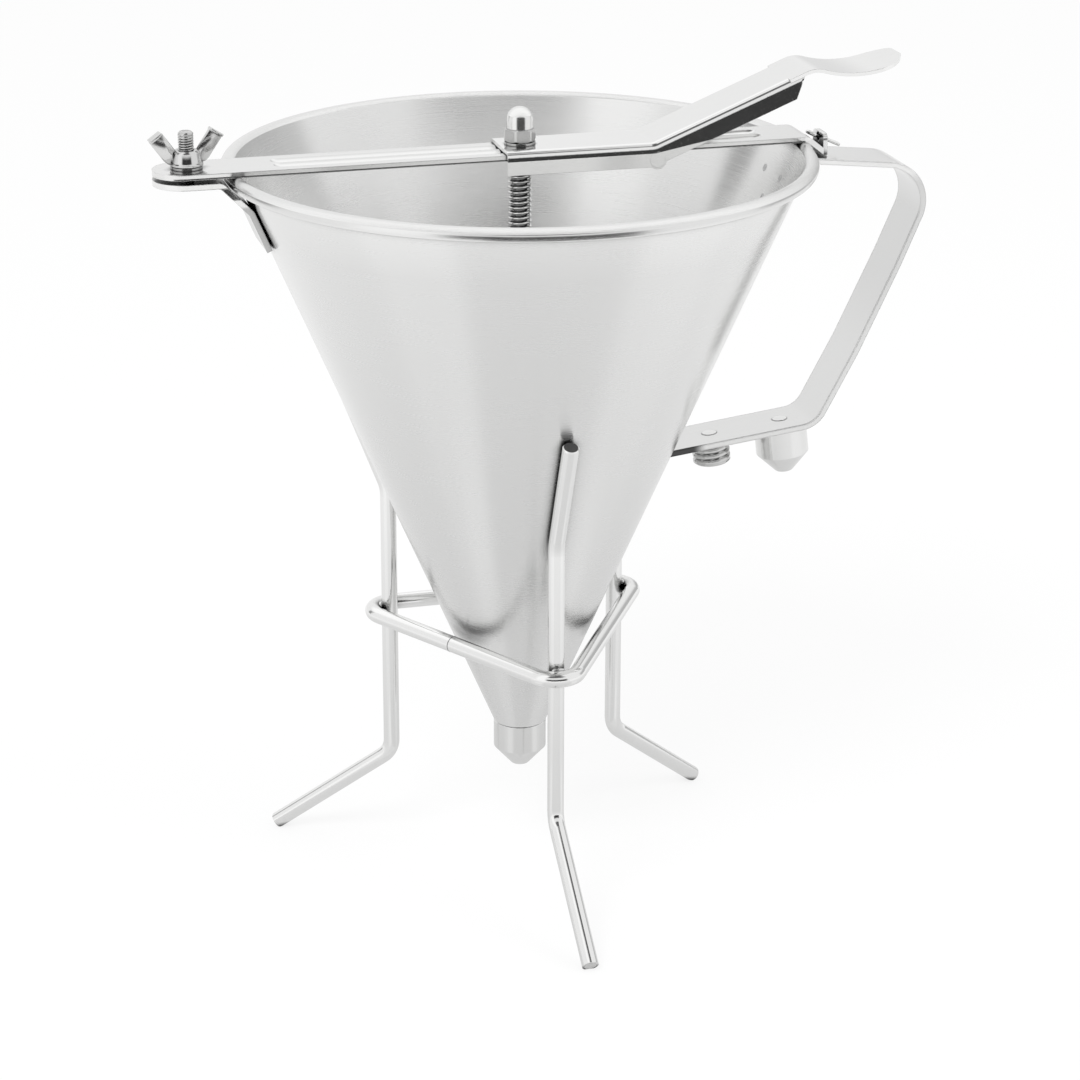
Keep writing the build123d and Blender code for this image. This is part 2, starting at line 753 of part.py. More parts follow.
# Stand ring: triangular wire ring round the legs
wire_radius = wire_diameter / 2
leg_step = 2 * math.pi / len(leg_names)
leg_angles = [math.radians(first_leg_angle) + leg_step * leg for leg in range(len(leg_names))]
ring_vertex = leg_radius + wire_diameter + weld_gap + ring_corner_radius
with BuildPart() as stand_ring:
    with BuildLine(Plane.XY.offset(ring_height)) as ring_line:
        corners = []
        for angle in leg_angles:
            corners.append((ring_vertex * math.cos(angle), ring_vertex * math.sin(angle)))
        FilletPolyline(*corners, radius=ring_corner_radius, close=True)
    with BuildSketch(Plane(origin=ring_line.line @ 0, z_dir=ring_line.line % 0)):
        Circle(wire_radius)
    sweep(path=ring_line.line)
finish(stand_ring.part, "stand_ring")

# Stand legs: splayed foot, upright, and a top that lies along the cone
lean_outside = cone_rest_gap + wire_radius
lean_start = outlet_height + (leg_radius - wall_radius(outlet_height, lean_outside)) / wall_slope
foot_z = wire_radius * math.cos(math.radians(foot_slope)) - foot_flat
foot_bend_z = foot_z + (foot_reach - leg_radius) * math.tan(math.radians(foot_slope))


def make_leg(turn):
    """One bent wire leg in its upright plane."""
    side = Plane(
        origin=(0, 0, 0),
        x_dir=(math.cos(turn), math.sin(turn), 0),
        z_dir=(math.sin(turn), -math.cos(turn), 0),
    )
    with BuildPart() as leg:
        with BuildLine(side) as leg_line:
            FilletPolyline(
                (foot_reach, foot_z),
                (leg_radius, foot_bend_z),
                (leg_radius, lean_start),
                (wall_radius(leg_top_height, lean_outside), leg_top_height),
                radius=[leg_lower_bend, leg_upper_bend],
            )
        with BuildSketch(Plane(origin=leg_line.line @ 0, z_dir=leg_line.line % 0)):
            Circle(wire_radius)
        sweep(path=leg_line.line)
        chamfer(leg.faces().sort_by(Axis.Z)[-1].edges(), cut_end_chamfer)
        split(bisect_by=Plane.XY, keep=Keep.TOP)
    return leg.part


for name, angle in zip(leg_names, leg_angles):
    finish(make_leg(angle), f"stand_leg_{name}")
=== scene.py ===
"""Looks of the confectionery funnel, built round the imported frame.

Sizes and places of the object are in millimetres, and become metres where a mesh is made. +Z is up, the
handle points along +X and the front leg along -Y.
"""

import json
import math

import bmesh
import bpy
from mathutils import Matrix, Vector


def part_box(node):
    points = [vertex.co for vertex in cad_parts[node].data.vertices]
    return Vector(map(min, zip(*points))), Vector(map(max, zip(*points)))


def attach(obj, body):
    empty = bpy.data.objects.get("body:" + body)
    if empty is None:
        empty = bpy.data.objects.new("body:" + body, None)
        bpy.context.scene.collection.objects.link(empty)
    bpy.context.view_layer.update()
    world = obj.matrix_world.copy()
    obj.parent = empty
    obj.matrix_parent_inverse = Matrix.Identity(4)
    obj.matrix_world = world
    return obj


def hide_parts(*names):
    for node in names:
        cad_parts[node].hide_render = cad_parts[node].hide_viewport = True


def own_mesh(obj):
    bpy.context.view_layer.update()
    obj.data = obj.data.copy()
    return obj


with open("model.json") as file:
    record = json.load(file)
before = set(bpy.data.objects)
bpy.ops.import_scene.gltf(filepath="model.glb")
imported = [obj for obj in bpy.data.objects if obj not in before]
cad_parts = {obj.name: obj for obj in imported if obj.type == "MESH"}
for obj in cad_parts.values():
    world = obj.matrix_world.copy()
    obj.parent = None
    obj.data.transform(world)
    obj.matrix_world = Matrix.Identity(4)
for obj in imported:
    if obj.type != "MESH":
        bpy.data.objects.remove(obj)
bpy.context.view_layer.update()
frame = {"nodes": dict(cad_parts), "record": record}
scene = bpy.context.scene
scene.view_settings.view_transform = "Standard"

MM = 0.001
UP = Vector((0, 0, 1))

# Cone and rim, as in the solids
RIM_HEIGHT = 246.0
RIM_RADIUS = 95.0
BEAD_RADIUS = 2.3
CONE_SHEET = 1.0
OUTLET_RADIUS = 8.8
OUTLET_HEIGHT = 51.0

# Handle, studs, nozzles and spigot, as in the solids
HANDLE_BOTTOM_X = 99.4
HANDLE_BOTTOM_Z = 150.0
HANDLE_SHEET = 2.0
LOWER_SLOPE = math.radians(6.8)
STUD_LENGTH = 8.0
INNER_STUD_X = 65.4
OUTER_STUD_X = 90.0
THREAD_RADIUS = 6.3
THREAD_DEPTH = 0.75
THREAD_PITCH = 2.0
THREAD_CHAMFER = 0.6
THREAD_START = 0.3
THREAD_END = 0.5
WELD_GAP = 0.05

# Clamp, as in the solids
CLAMP_X = -106.7

bead_circle = RIM_RADIUS - BEAD_RADIUS
bead_height = RIM_HEIGHT - BEAD_RADIUS
wall_rise = bead_height - OUTLET_HEIGHT
wall_run = bead_circle - OUTLET_RADIUS
half_angle = math.atan2(wall_run, wall_rise)
half_angle -= math.asin((BEAD_RADIUS - CONE_SHEET) / math.hypot(wall_run, wall_rise))


def wall_radius(height, outside=0.0):
    """Radius of the cone's outer face at a height, or of a line beside it."""
    slope = (height - OUTLET_HEIGHT) * math.tan(half_angle)
    return OUTLET_RADIUS + slope + outside / math.cos(half_angle)


def round_z(turn):
    """Level direction at a turn about Z."""
    return Vector((math.cos(turn), math.sin(turn), 0))


# Mesh helpers: a shape is a list of points in millimetres and a list of faces
THREAD_FLANK = 3.2
RUNOUT_DEPTH = 0.25
RUNOUT_RATE = 4.0
ROUNDING_STEPS = 3
PLAIN_SHARP = 35.0
TURNED_SHARP = 20.0
THREAD_SHARP = 50.0
WELD_SHARP = 60.0


def add_mesh(name, shape, sharp=PLAIN_SHARP, rounding=0.0):
    """Mesh object from a shape, smooth apart from edges sharper than an angle, or with these rounded."""
    points, faces = shape
    mesh = bpy.data.meshes.new(name)
    mesh.from_pydata([Vector(point) * MM for point in points], [], faces)
    build = bmesh.new()
    build.from_mesh(mesh)
    bmesh.ops.recalc_face_normals(build, faces=build.faces)
    if rounding:
        corners = [edge for edge in build.edges if edge.calc_face_angle(0) > math.radians(sharp)]
        bmesh.ops.bevel(
            build, geom=corners, offset=rounding * MM, segments=ROUNDING_STEPS, profile=0.5, affect="EDGES"
        )
    for face in build.faces:
        face.smooth = True
    for edge in build.edges:
        edge.smooth = edge.calc_face_angle(math.pi) < math.radians(sharp)
    build.to_mesh(mesh)
    build.free()
    piece = bpy.data.objects.new(name, mesh)
    scene.collection.objects.link(piece)
    return piece


def grid_faces(rows, columns, closed):
    """Quads over rows of points whose columns run round, with flat ends or closed on themselves."""
    faces = []
    for row in range(rows if closed else rows - 1):
        upper = (row + 1) % rows
        for column in range(columns):
            after = (column + 1) % columns
            faces.append((
                row * columns + column,
                row * columns + after,
                upper * columns + after,
                upper * columns + column,
            ))
    if not closed:
        faces.append(tuple(range(columns - 1, -1, -1)))
        faces.append(tuple(range((rows - 1) * columns, rows * columns)))
    return faces


def turned(profile, segments=48, closed=False, pitch=1.0):
    """Profile of (radius, height) turned about Z, where a third value in a row is its thread depth."""
    points = []
    for row in profile:
        radius, height, depth = (*row, 0.0)[:3]
        for step in range(segments):
            share = step / segments
            phase = (height / pitch - share) % 1.0
            ridge = min(1.0, max(0.0, THREAD_FLANK * (0.5 - abs(phase - 0.5))))
            reach = radius - depth * (1.0 - ridge)
            points.append(round_z(2 * math.pi * share) * reach + UP * height)
    return points, grid_faces(len(profile), segments, closed)


def thread(radius, depth, start, end, pitch, per_pitch=10):
    """Rows of a profile along a thread that runs out at both ends."""
    count = max(2, int(round(abs(end - start) / pitch * per_pitch)))
    rows = []
    for step in range(count + 1):
        share = step / count
        ease = min(1.0, RUNOUT_RATE * min(share, 1.0 - share) + RUNOUT_DEPTH)
        rows.append((radius, start + (end - start) * share, depth * ease))
    return rows


def tube(path, radius, sides=10):
    """Tube with flat ends along a list of points."""
    points = []
    side = None
    for index, centre in enumerate(path):
        before = Vector(path[max(index - 1, 0)])
        after = Vector(path[min(index + 1, len(path) - 1)])
        along = (after - before).normalized()
        if side is None:
            side = along.orthogonal().normalized()
        side = (side - along * side.dot(along)).normalized()
        up = along.cross(side)
        for step in range(sides):
            turn = 2 * math.pi * step / sides
            points.append(Vector(centre) + (side * math.cos(turn) + up * math.sin(turn)) * radius)
    return points, grid_faces(len(path), sides, False)


def placed(shape, origin, along=UP):
    """Shape with its +Z turned along a direction and its origin at a point."""
    points, faces = shape
    turn = UP.rotation_difference(Vector(along))
    return [turn @ Vector(point) + Vector(origin) for point in points], faces


def prism(outline, origin, across, up, thickness):
    """Flat plate whose outline is given along two directions, centred on its own plane."""
    normal = across.cross(up).normalized()
    points = []
    for side in (-0.5, 0.5):
        for along, rise in outline:
            points.append(origin + across * along + up * rise + normal * (side * thickness))
    count = len(outline)
    faces = [tuple(range(count - 1, -1, -1)), tuple(range(count, 2 * count))]
    for index in range(count):
        after = (index + 1) % count
        faces.append((index, after, count + after, count + index))
    return points, faces


def joined(shapes):
    """Several shapes as one."""
    points = []
    faces = []
    for part_points, part_faces in shapes:
        first = len(points)
        points.extend(part_points)
        faces.extend(tuple(first + index for index in face) for face in part_faces)
    return points, faces


# Node helpers
class Signal:
    """A number that varies over a surface or with a direction: sums with it become nodes."""

    def __init__(self, tree, socket):
        self.tree = tree
        self.socket = socket

    def maths(self, operation, *values):
        """Signal of a maths node on signals and plain numbers."""
        node = self.tree.nodes.new("ShaderNodeMath")
        node.operation = operation
        for target, value in zip(node.inputs, values):
            if isinstance(value, Signal):
                self.tree.links.new(value.socket, target)
            else:
                target.default_value = value
        return Signal(self.tree, node.outputs[0])

    def __add__(self, other):
        return self.maths("ADD", self, other)

    def __sub__(self, other):
        return self.maths("SUBTRACT", self, other)

    def __rsub__(self, other):
        return self.maths("SUBTRACT", other, self)

    def __mul__(self, other):
        return self.maths("MULTIPLY", self, other)

    def __truediv__(self, other):
        return self.maths("DIVIDE", self, other)

    def __abs__(self):
        return self.maths("ABSOLUTE", self)

    __radd__ = __add__
    __rmul__ = __mul__

    def at_least(self, limit):
        """The signal, or a limit where that is more."""
        return self.maths("MAXIMUM", self, limit)

    def at_most(self, limit):
        """The signal, or a limit where that is less."""
        return self.maths("MINIMUM", self, limit)

    def ramp(self, begin, end, low, high, kind="LINEAR"):
        """Ramp from a low level at one value to a high level at a larger one, held beyond both."""
        node = self.tree.nodes.new("ShaderNodeMapRange")
        node.interpolation_type = kind
        node.inputs["From Min"].default_value = begin
        node.inputs["From Max"].default_value = end
        node.inputs["To Min"].default_value = low
        node.inputs["To Max"].default_value = high
        self.tree.links.new(self.socket, node.inputs["Value"])
        return Signal(self.tree, node.outputs[0])

    def fade(self, begin, end):
        """Smooth step from nought at one value to one at the other, in either order."""
        if begin < end:
            return self.ramp(begin, end, 0.0, 1.0, "SMOOTHSTEP")
        return self.ramp(end, begin, 1.0, 0.0, "SMOOTHSTEP")


def split(tree, vector):
    """Signals of a vector's three parts."""
    node = tree.nodes.new("ShaderNodeSeparateXYZ")
    tree.links.new(vector, node.inputs[0])
    return [Signal(tree, output) for output in node.outputs]


def object_place(tree):
    """Vector of a point's place on its object, in metres."""
    return tree.nodes.new("ShaderNodeTexCoord").outputs["Object"]


def place_parts(tree):
    """Signals of a point's place on its object, in millimetres."""
    scaled = tree.nodes.new("ShaderNodeVectorMath")
    scaled.operation = "SCALE"
    scaled.inputs["Scale"].default_value = 1.0 / MM
    tree.links.new(object_place(tree), scaled.inputs[0])
    return split(tree, scaled.outputs[0])


def turn_from_front(x, y):
    """Signal of the turn about Z from the front, in radians, positive towards +X."""
    return x.maths("ARCTAN2", x, -1.0 * y)


def distance(x, y):
    """Signal of the distance from the Z axis."""
    return x.maths("SQRT", x * x + y * y)


def noise(tree, vector, scale, detail=2.0):
    """Signal of a cloudy noise over a vector."""
    node = tree.nodes.new("ShaderNodeTexNoise")
    node.inputs["Scale"].default_value = scale
    node.inputs["Detail"].default_value = detail
    tree.links.new(vector, node.inputs["Vector"])
    return Signal(tree, node.outputs["Fac"])


# Steel
WARMTH = 0.005
GRAIN_DETAIL = 3.0
GRAIN_BUMP = 0.1
GRAIN_RANGE = (0.25, 0.75)
MARKS_SCALE = 55.0
MARKS_DETAIL = 4.0
MARKS_SHARE = 0.35
TONE_CHANGE = 0.035
ACROSS_GRAIN = 0.25
EDGE_SAMPLES = 4
# Painted shade in corners and gaps, from ambient occlusion
CORNER_SHADE_SAMPLES = 6
CORNER_SHADE_RANGE = (0.3, 0.8)
CORNER_SHADE_LEVEL = 0.06


def shade(material, level):
    """Let a finish keep only a level of its colour."""
    tree = material.node_tree
    colour_in = tree.nodes["Principled BSDF"].inputs["Base Color"]
    darker = tree.nodes.new("ShaderNodeMixRGB")
    darker.blend_type = "MULTIPLY"
    darker.inputs["Fac"].default_value = 1.0
    tree.links.new(colour_in.links[0].from_socket, darker.inputs["Color1"])
    tree.links.new(level.socket, darker.inputs["Color2"])
    tree.links.new(darker.outputs[0], colour_in)


def lean(material, amount):
    """Let upright faces lean back by an amount, as pressed flanges and worn edges do."""
    tree = material.node_tree
    normal_in = tree.nodes["Principled BSDF"].inputs["Normal"]
    upward = tree.nodes.new("ShaderNodeCombineXYZ")
    tree.links.new(amount.socket, upward.inputs["Z"])
    total = tree.nodes.new("ShaderNodeVectorMath")
    total.operation = "ADD"
    tree.links.new(normal_in.links[0].from_socket, total.inputs[0])
    tree.links.new(upward.outputs[0], total.inputs[1])
    unit = tree.nodes.new("ShaderNodeVectorMath")
    unit.operation = "NORMALIZE"
    tree.links.new(total.outputs[0], unit.inputs[0])
    tree.links.new(unit.outputs[0], normal_in)


def grain_place(tree, grain, around):
    """Vector that runs along a piece, or round the axis, at the grain's scale."""
    source = object_place(tree)
    if around:
        x, y, z = split(tree, source)
        join = tree.nodes.new("ShaderNodeCombineXYZ")
        tree.links.new(turn_from_front(x, y).socket, join.inputs["X"])
        tree.links.new(z.socket, join.inputs["Z"])
        source = join.outputs[0]
    mapping = tree.nodes.new("ShaderNodeMapping")
    mapping.inputs["Scale"].default_value = grain
    tree.links.new(source, mapping.inputs["Vector"])
    return mapping.outputs[0]


def steel(
    name, grey, roughness, spread, grain, relief,
    warmth=WARMTH, edge=0.0, corner_shade=0.0, anisotropy=0.0, around=False,
):
    """Bare steel with a fine grain and faint handling marks.

    The roughness varies over its spread. The grain is a count per metre along X, Y and Z or, around the
    axis, per radian and per metre of height, and the relief is the strength of its bumps. An edge radius
    rounds the look of the edges, and a reach of corner shade paints shade into the colour of corners and
    gaps, from ambient occlusion.
    """
    material = bpy.data.materials.new(name)
    material.use_nodes = True
    tree = material.node_tree
    shader = tree.nodes["Principled BSDF"]
    colour = (grey, grey, grey - warmth)
    shader.inputs["Base Color"].default_value = (*colour, 1.0)
    shader.inputs["Metallic"].default_value = 1.0
    shader.inputs["Roughness"].default_value = roughness
    shader.inputs["Anisotropic"].default_value = anisotropy
    shader.inputs["Anisotropic Rotation"].default_value = ACROSS_GRAIN

    lines = noise(tree, grain_place(tree, grain, around), 1.0, GRAIN_DETAIL)
    marks = noise(tree, object_place(tree), MARKS_SCALE, MARKS_DETAIL)
    wear_and_shade = lines * (1.0 - MARKS_SHARE) + marks * MARKS_SHARE
    tree.links.new(wear_and_shade.ramp(*GRAIN_RANGE, *spread).socket, shader.inputs["Roughness"])

    tone = tree.nodes.new("ShaderNodeMixRGB")
    for socket, change in (("Color1", -TONE_CHANGE), ("Color2", TONE_CHANGE)):
        tone.inputs[socket].default_value = (*(min(1.0, part * (1.0 + change)) for part in colour), 1.0)
    tree.links.new(wear_and_shade.socket, tone.inputs["Fac"])
    tree.links.new(tone.outputs[0], shader.inputs["Base Color"])
    # Painted shade: the colour is darkened in corners and gaps by ambient occlusion
    if corner_shade:
        occlusion = tree.nodes.new("ShaderNodeAmbientOcclusion")
        occlusion.samples = CORNER_SHADE_SAMPLES
        occlusion.inputs["Distance"].default_value = corner_shade * MM
        shade(material, Signal(tree, occlusion.outputs["AO"]).ramp(*CORNER_SHADE_RANGE, CORNER_SHADE_LEVEL, 1.0))

    bump = tree.nodes.new("ShaderNodeBump")
    bump.inputs["Strength"].default_value = relief
    bump.inputs["Distance"].default_value = GRAIN_BUMP * MM
    tree.links.new(lines.socket, bump.inputs["Height"])
    tree.links.new(bump.outputs[0], shader.inputs["Normal"])
    if edge:
        bevel = tree.nodes.new("ShaderNodeBevel")
        bevel.samples = EDGE_SAMPLES
        bevel.inputs["Radius"].default_value = edge * MM
        tree.links.new(bevel.outputs["Normal"], bump.inputs["Normal"])
    if around:
        tangent = tree.nodes.new("ShaderNodeTangent")
        tangent.direction_type = "RADIAL"
        tangent.axis = "Z"
        tree.links.new(tangent.outputs[0], shader.inputs["Tangent"])
    return material


# Finishes by name: each of the record's slots, and the variants that single pieces have
# A reach of corner shade darkens a finish's colour in its corners and gaps: painted shade
FINISHES = {
    "cone_steel": {
        "grey": 0.82, "roughness": 0.26, "spread": (0.2, 0.31), "grain": (3, 1, 3000), "relief": 0.14,
        "corner_shade": 5.0, "anisotropy": 0.85, "around": True,
    },
    "bead_steel": {
        "grey": 0.81, "roughness": 0.22, "spread": (0.18, 0.27), "grain": (14, 1, 1500), "relief": 0.03,
        "around": True,
    },
    "strip_steel": {
        "grey": 0.81, "roughness": 0.2, "spread": (0.13, 0.22), "grain": (60, 900, 900), "relief": 0.06,
        "edge": 0.4, "corner_shade": 3.0,
    },
    "handle_steel": {
        "grey": 0.89, "roughness": 0.2, "spread": (0.13, 0.24), "grain": (90, 1400, 90), "relief": 0.06,
        "edge": 0.9,
    },
    "lever_steel": {
        "grey": 0.86, "roughness": 0.07, "spread": (0.05, 0.1), "grain": (60, 1500, 300), "relief": 0.02,
        "edge": 0.2, "corner_shade": 1.5,
    },
    "bar_steel": {
        "grey": 0.81, "roughness": 0.14, "spread": (0.1, 0.18), "grain": (60, 900, 900), "relief": 0.06,
        "edge": 0.4, "corner_shade": 3.0,
    },
    "bracket_steel": {
        "grey": 0.86, "roughness": 0.16, "spread": (0.1, 0.2), "grain": (900, 900, 60), "relief": 0.05,
        "edge": 0.3, "corner_shade": 3.0,
    },
    "nut_steel": {
        "grey": 0.7, "roughness": 0.09, "spread": (0.07, 0.14), "grain": (300, 300, 2500), "relief": 0.03,
        "edge": 0.3, "corner_shade": 3.0,
    },
    "acorn_steel": {
        "grey": 0.82, "roughness": 0.18, "spread": (0.15, 0.22), "grain": (300, 300, 2500), "relief": 0.03,
        "edge": 0.3, "corner_shade": 4.0,
    },
    "thread_steel": {
        "grey": 0.6, "roughness": 0.14, "spread": (0.1, 0.19), "grain": (500, 500, 500), "relief": 0.05,
        "corner_shade": 0.7,
    },
    "nozzle_steel": {
        "grey": 0.78, "roughness": 0.16, "spread": (0.14, 0.19), "grain": (60, 60, 4500), "relief": 0.05,
    },
    # The rod's finish, which the spigot shares, is painted dark: painted shade for the rod seen in the gaps
    # of the spring
    "rod_steel": {
        "grey": 0.3, "roughness": 0.25, "spread": (0.2, 0.32), "grain": (60, 60, 3000), "relief": 0.05,
        "warmth": 0.0,
    },
    "spring_steel": {
        "grey": 0.86, "roughness": 0.1, "spread": (0.07, 0.13), "grain": (900, 900, 900), "relief": 0.02,
        "corner_shade": 1.2,
    },
    "wire_steel": {
        "grey": 0.86, "roughness": 0.11, "spread": (0.08, 0.15), "grain": (700, 700, 60), "relief": 0.02,
        "corner_shade": 3.0,
    },
    # The ring's finish is the wire's with a wider reach of painted shade, darker where it passes the cone
    # and the legs
    "ring_steel": {
        "grey": 0.86, "roughness": 0.11, "spread": (0.08, 0.15), "grain": (700, 700, 60), "relief": 0.02,
        "corner_shade": 9.0,
    },
    "spot_steel": {
        "grey": 0.6, "roughness": 0.3, "spread": (0.25, 0.4), "grain": (900, 900, 900), "relief": 0.1,
        "warmth": 0.0,
    },
    "foot_steel": {
        "grey": 0.74, "roughness": 0.3, "spread": (0.25, 0.4), "grain": (2500, 900, 900), "relief": 0.3,
    },
    "cut_steel": {
        "grey": 0.16, "roughness": 0.5, "spread": (0.4, 0.6), "grain": (2500, 900, 900), "relief": 0.5,
        "warmth": 0.0,
    },
}
looks = {name: steel(f"{name}_look", **finish) for name, finish in FINISHES.items()}

# Rim bead: flattened in rolling, with a pale crown and a dark band under it
BEAD_LEAN = 0.25
BEAD_FALL = -0.65
BEAD_CROWN = 1.0
BEAD_CROWN_RISE = (0.2, 0.36)
BEAD_FOOT_RISE = (-0.8, -0.62)


def flatten_bead(material):
    """Lean of the bead's face by the rise over its centre, in bead radii."""
    x, y, z = place_parts(material.node_tree)
    rise = (z - bead_height) / BEAD_RADIUS
    face = rise.at_most(0.0) * BEAD_FALL + BEAD_LEAN + rise.fade(*BEAD_CROWN_RISE) * BEAD_CROWN
    lean(material, face * rise.fade(*BEAD_FOOT_RISE))


# Handle: painted shade along the front edge of the lower arm's welded end, and painted shade on the grip
ARM_END = 56.5
ARM_EDGE = -9.6
ARM_TOP = 151.0
EDGE_SHADE_REACH = 5.0
EDGE_SHADE_WIDTH = 0.2
EDGE_SHADE_DEPTH = 1.0
EDGE_SHADE_AMOUNT = 0.9
GRIP_TOP = (235.0, 230.0)
GRIP_UPPER = (170.0, 200.0)
GRIP_SHADE = 0.145
GRIP_UPPER_SHADE = 0.06


def shade_handle(material):
    """Painted shade at the edge of the welded end and over the grip."""
    x, y, z = place_parts(material.node_tree)
    # Painted shade along the front edge of the arm's end, where it meets the cone
    edge_shade = x.fade(ARM_END + EDGE_SHADE_REACH, ARM_END) * y.fade(ARM_EDGE, ARM_EDGE - EDGE_SHADE_WIDTH)
    edge_shade = edge_shade * z.fade(ARM_TOP, ARM_TOP - EDGE_SHADE_DEPTH)
    shade(material, 1.0 - edge_shade * EDGE_SHADE_AMOUNT)
    # Painted shade over the grip, a little deeper on its upper part
    wear_and_shade = z.fade(*GRIP_UPPER) * GRIP_UPPER_SHADE + GRIP_SHADE
    shade(material, 1.0 - wear_and_shade * z.fade(*GRIP_TOP))


# Thumb lever: the rolled shoulder of each flange leans back, with small pits, and widens past the bend
LEVER_TOP = 249.2
LEVER_BEND = 41.5
LEVER_INCLINE = math.radians(22.0)
SHOULDER_DEPTH = (3.6, 3.1)
SHOULDER_SPREAD = 0.22
SHOULDER_LEAN = 0.17
FLANGE_END = (90.5, 90.1)
WEB_EDGE = (1.4, 1.8)
PIT_SCALE = 2600.0
PIT_RANGE = (0.56, 0.72)
PIT_DEPTH = 0.3


def roll_shoulders(material):
    """Lean of the flanges' upper part."""
    tree = material.node_tree
    x, y, z = place_parts(tree)
    past_bend = (x - LEVER_BEND).at_least(0.0)
    below_web = past_bend * math.tan(LEVER_INCLINE) + LEVER_TOP - z
    shoulder = (below_web - past_bend * SHOULDER_SPREAD).fade(*SHOULDER_DEPTH)
    shoulder = shoulder * x.fade(*FLANGE_END) * below_web.fade(*WEB_EDGE)
    pits = noise(tree, object_place(tree), PIT_SCALE).fade(*PIT_RANGE)
    lean(material, shoulder * (1.0 - pits * PIT_DEPTH) * SHOULDER_LEAN)


# Crossbar: its lower edges are worn round
BAR_EDGE = (246.7, 246.4)
BAR_EDGE_LEAN = 0.2


def wear_bar(material):
    """Lean of the bar's lower edge."""
    x, y, z = place_parts(material.node_tree)
    lean(material, z.fade(*BAR_EDGE) * BAR_EDGE_LEAN)


# Clamp bracket: the edge of its leaf leans back, and its leg is painted darker lower down: painted shade
LEAF_TOP = (243.4, 242.4)
LEAF_BOTTOM = (238.8, 239.6)
LEAF_LEAN = 0.17
LEG_TOP = (237.2, 236.0)
LEG_SHADE = 0.42


def lean_and_shade_bracket(material):
    """Lean of the leaf's edge and painted shade on the leg."""
    x, y, z = place_parts(material.node_tree)
    lean(material, z.fade(*LEAF_TOP) * z.fade(*LEAF_BOTTOM) * LEAF_LEAN)
    # Painted shade: the leg's colour is darker below the leaf
    shade(material, 1.0 - z.fade(*LEG_TOP) * LEG_SHADE)


# Cap nut: the dome's sides lean and its top is bright, and the hexagon's flats have painted shade that
# makes them darker than its corners
DOME_CENTRE = 257.05
DOME_RADIUS = 4.2
DOME_LEAN = 0.17
DOME_FALL = 0.89
DOME_CROWN = 1.4
DOME_CROWN_RISE = (0.3, 0.42)
HEX_TOP = (254.15, 254.45)
HEX_CORNER = (5.1, 4.9)
HEX_FLAT_SHADE = 0.3


def lean_and_shade_cap_nut(material):
    """Lean of the dome by the rise over its centre, in dome radii, and the flats' painted shade."""
    x, y, z = place_parts(material.node_tree)
    rise = (z - DOME_CENTRE) / DOME_RADIUS
    dome = DOME_LEAN - rise.at_least(0.0) * DOME_FALL + rise.fade(*DOME_CROWN_RISE) * DOME_CROWN
    above_hex = z.fade(*HEX_TOP)
    lean(material, dome * above_hex)
    # Painted shade on the hexagon's flats, leaving its corners lighter
    flat = (1.0 - above_hex) * distance(x, y).fade(*HEX_CORNER)
    shade(material, 1.0 - flat * HEX_FLAT_SHADE)


flatten_bead(looks["bead_steel"])
shade_handle(looks["handle_steel"])
roll_shoulders(looks["lever_steel"])
wear_bar(looks["bar_steel"])
lean_and_shade_bracket(looks["bracket_steel"])
lean_and_shade_cap_nut(looks["acorn_steel"])

# The solids' own finishes
NODE_LOOKS = {
    "handle": "handle_steel",
    "clamp_bracket": "bracket_steel",
    "acorn_nut": "acorn_steel",
    "crossbar": "bar_steel",
    "stand_ring": "ring_steel",
}
for subpart in frame["record"]["subparts"]:
    node = frame["nodes"][subpart["node"]]
    look = looks[NODE_LOOKS.get(subpart["node"], subpart["material_slot"])]
    for index in range(len(node.material_slots)):
        node.material_slots[index].material = look


def dress(piece, body, slot, look=None, replaced=None):
    """Let a piece ride on a body with its slot's finish, or with another look."""
    piece.data.materials.clear()
    piece.data.materials.append(looks[look or slot])
    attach(piece, body)
    if replaced:
        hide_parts(replaced)
    return piece


# Cone: the solid's wall, and the rim rolled over it with the hem's slit
CONE_SEGMENTS = 240
WALL_STEPS = 12
ARC_STEPS = 30
HEM_END = -136.0
SLIT_RADIUS = 1.5
WALL_TOP_DROP = 0.75

inner_angle = 180.0 - math.degrees(half_angle)
wall_top = bead_height - WALL_TOP_DROP * BEAD_RADIUS


def on_bead(degrees, radius=BEAD_RADIUS):
    """Point round the rim wire's centre."""
    turn = math.radians(degrees)
    return (bead_circle + radius * math.cos(turn), bead_height + radius * math.sin(turn))


cone_rows = []
for step in range(WALL_STEPS):
    height = OUTLET_HEIGHT + (bead_height - OUTLET_HEIGHT) * step / WALL_STEPS
    cone_rows.append((wall_radius(height, -CONE_SHEET), height))
cone_rows.append(on_bead(inner_angle))
for step in range(WALL_STEPS, -1, -1):
    height = OUTLET_HEIGHT + (wall_top - OUTLET_HEIGHT) * step / WALL_STEPS
    cone_rows.append((wall_radius(height), height))
cone_shell = add_mesh("cone_shell", turned(cone_rows, CONE_SEGMENTS, closed=True))
dress(cone_shell, "funnel", "cone_steel", replaced="funnel_cone")

bead_rows = []
for step in range(ARC_STEPS + 1):
    bead_rows.append(on_bead(inner_angle + (HEM_END - inner_angle) * step / ARC_STEPS))
bead_rows.append(on_bead(HEM_END, SLIT_RADIUS))
bead_rows.append(on_bead(inner_angle, SLIT_RADIUS))
rim_bead = add_mesh("rim_bead", turned(bead_rows, CONE_SEGMENTS, closed=True))
dress(rim_bead, "funnel", "cone_steel", "bead_steel")

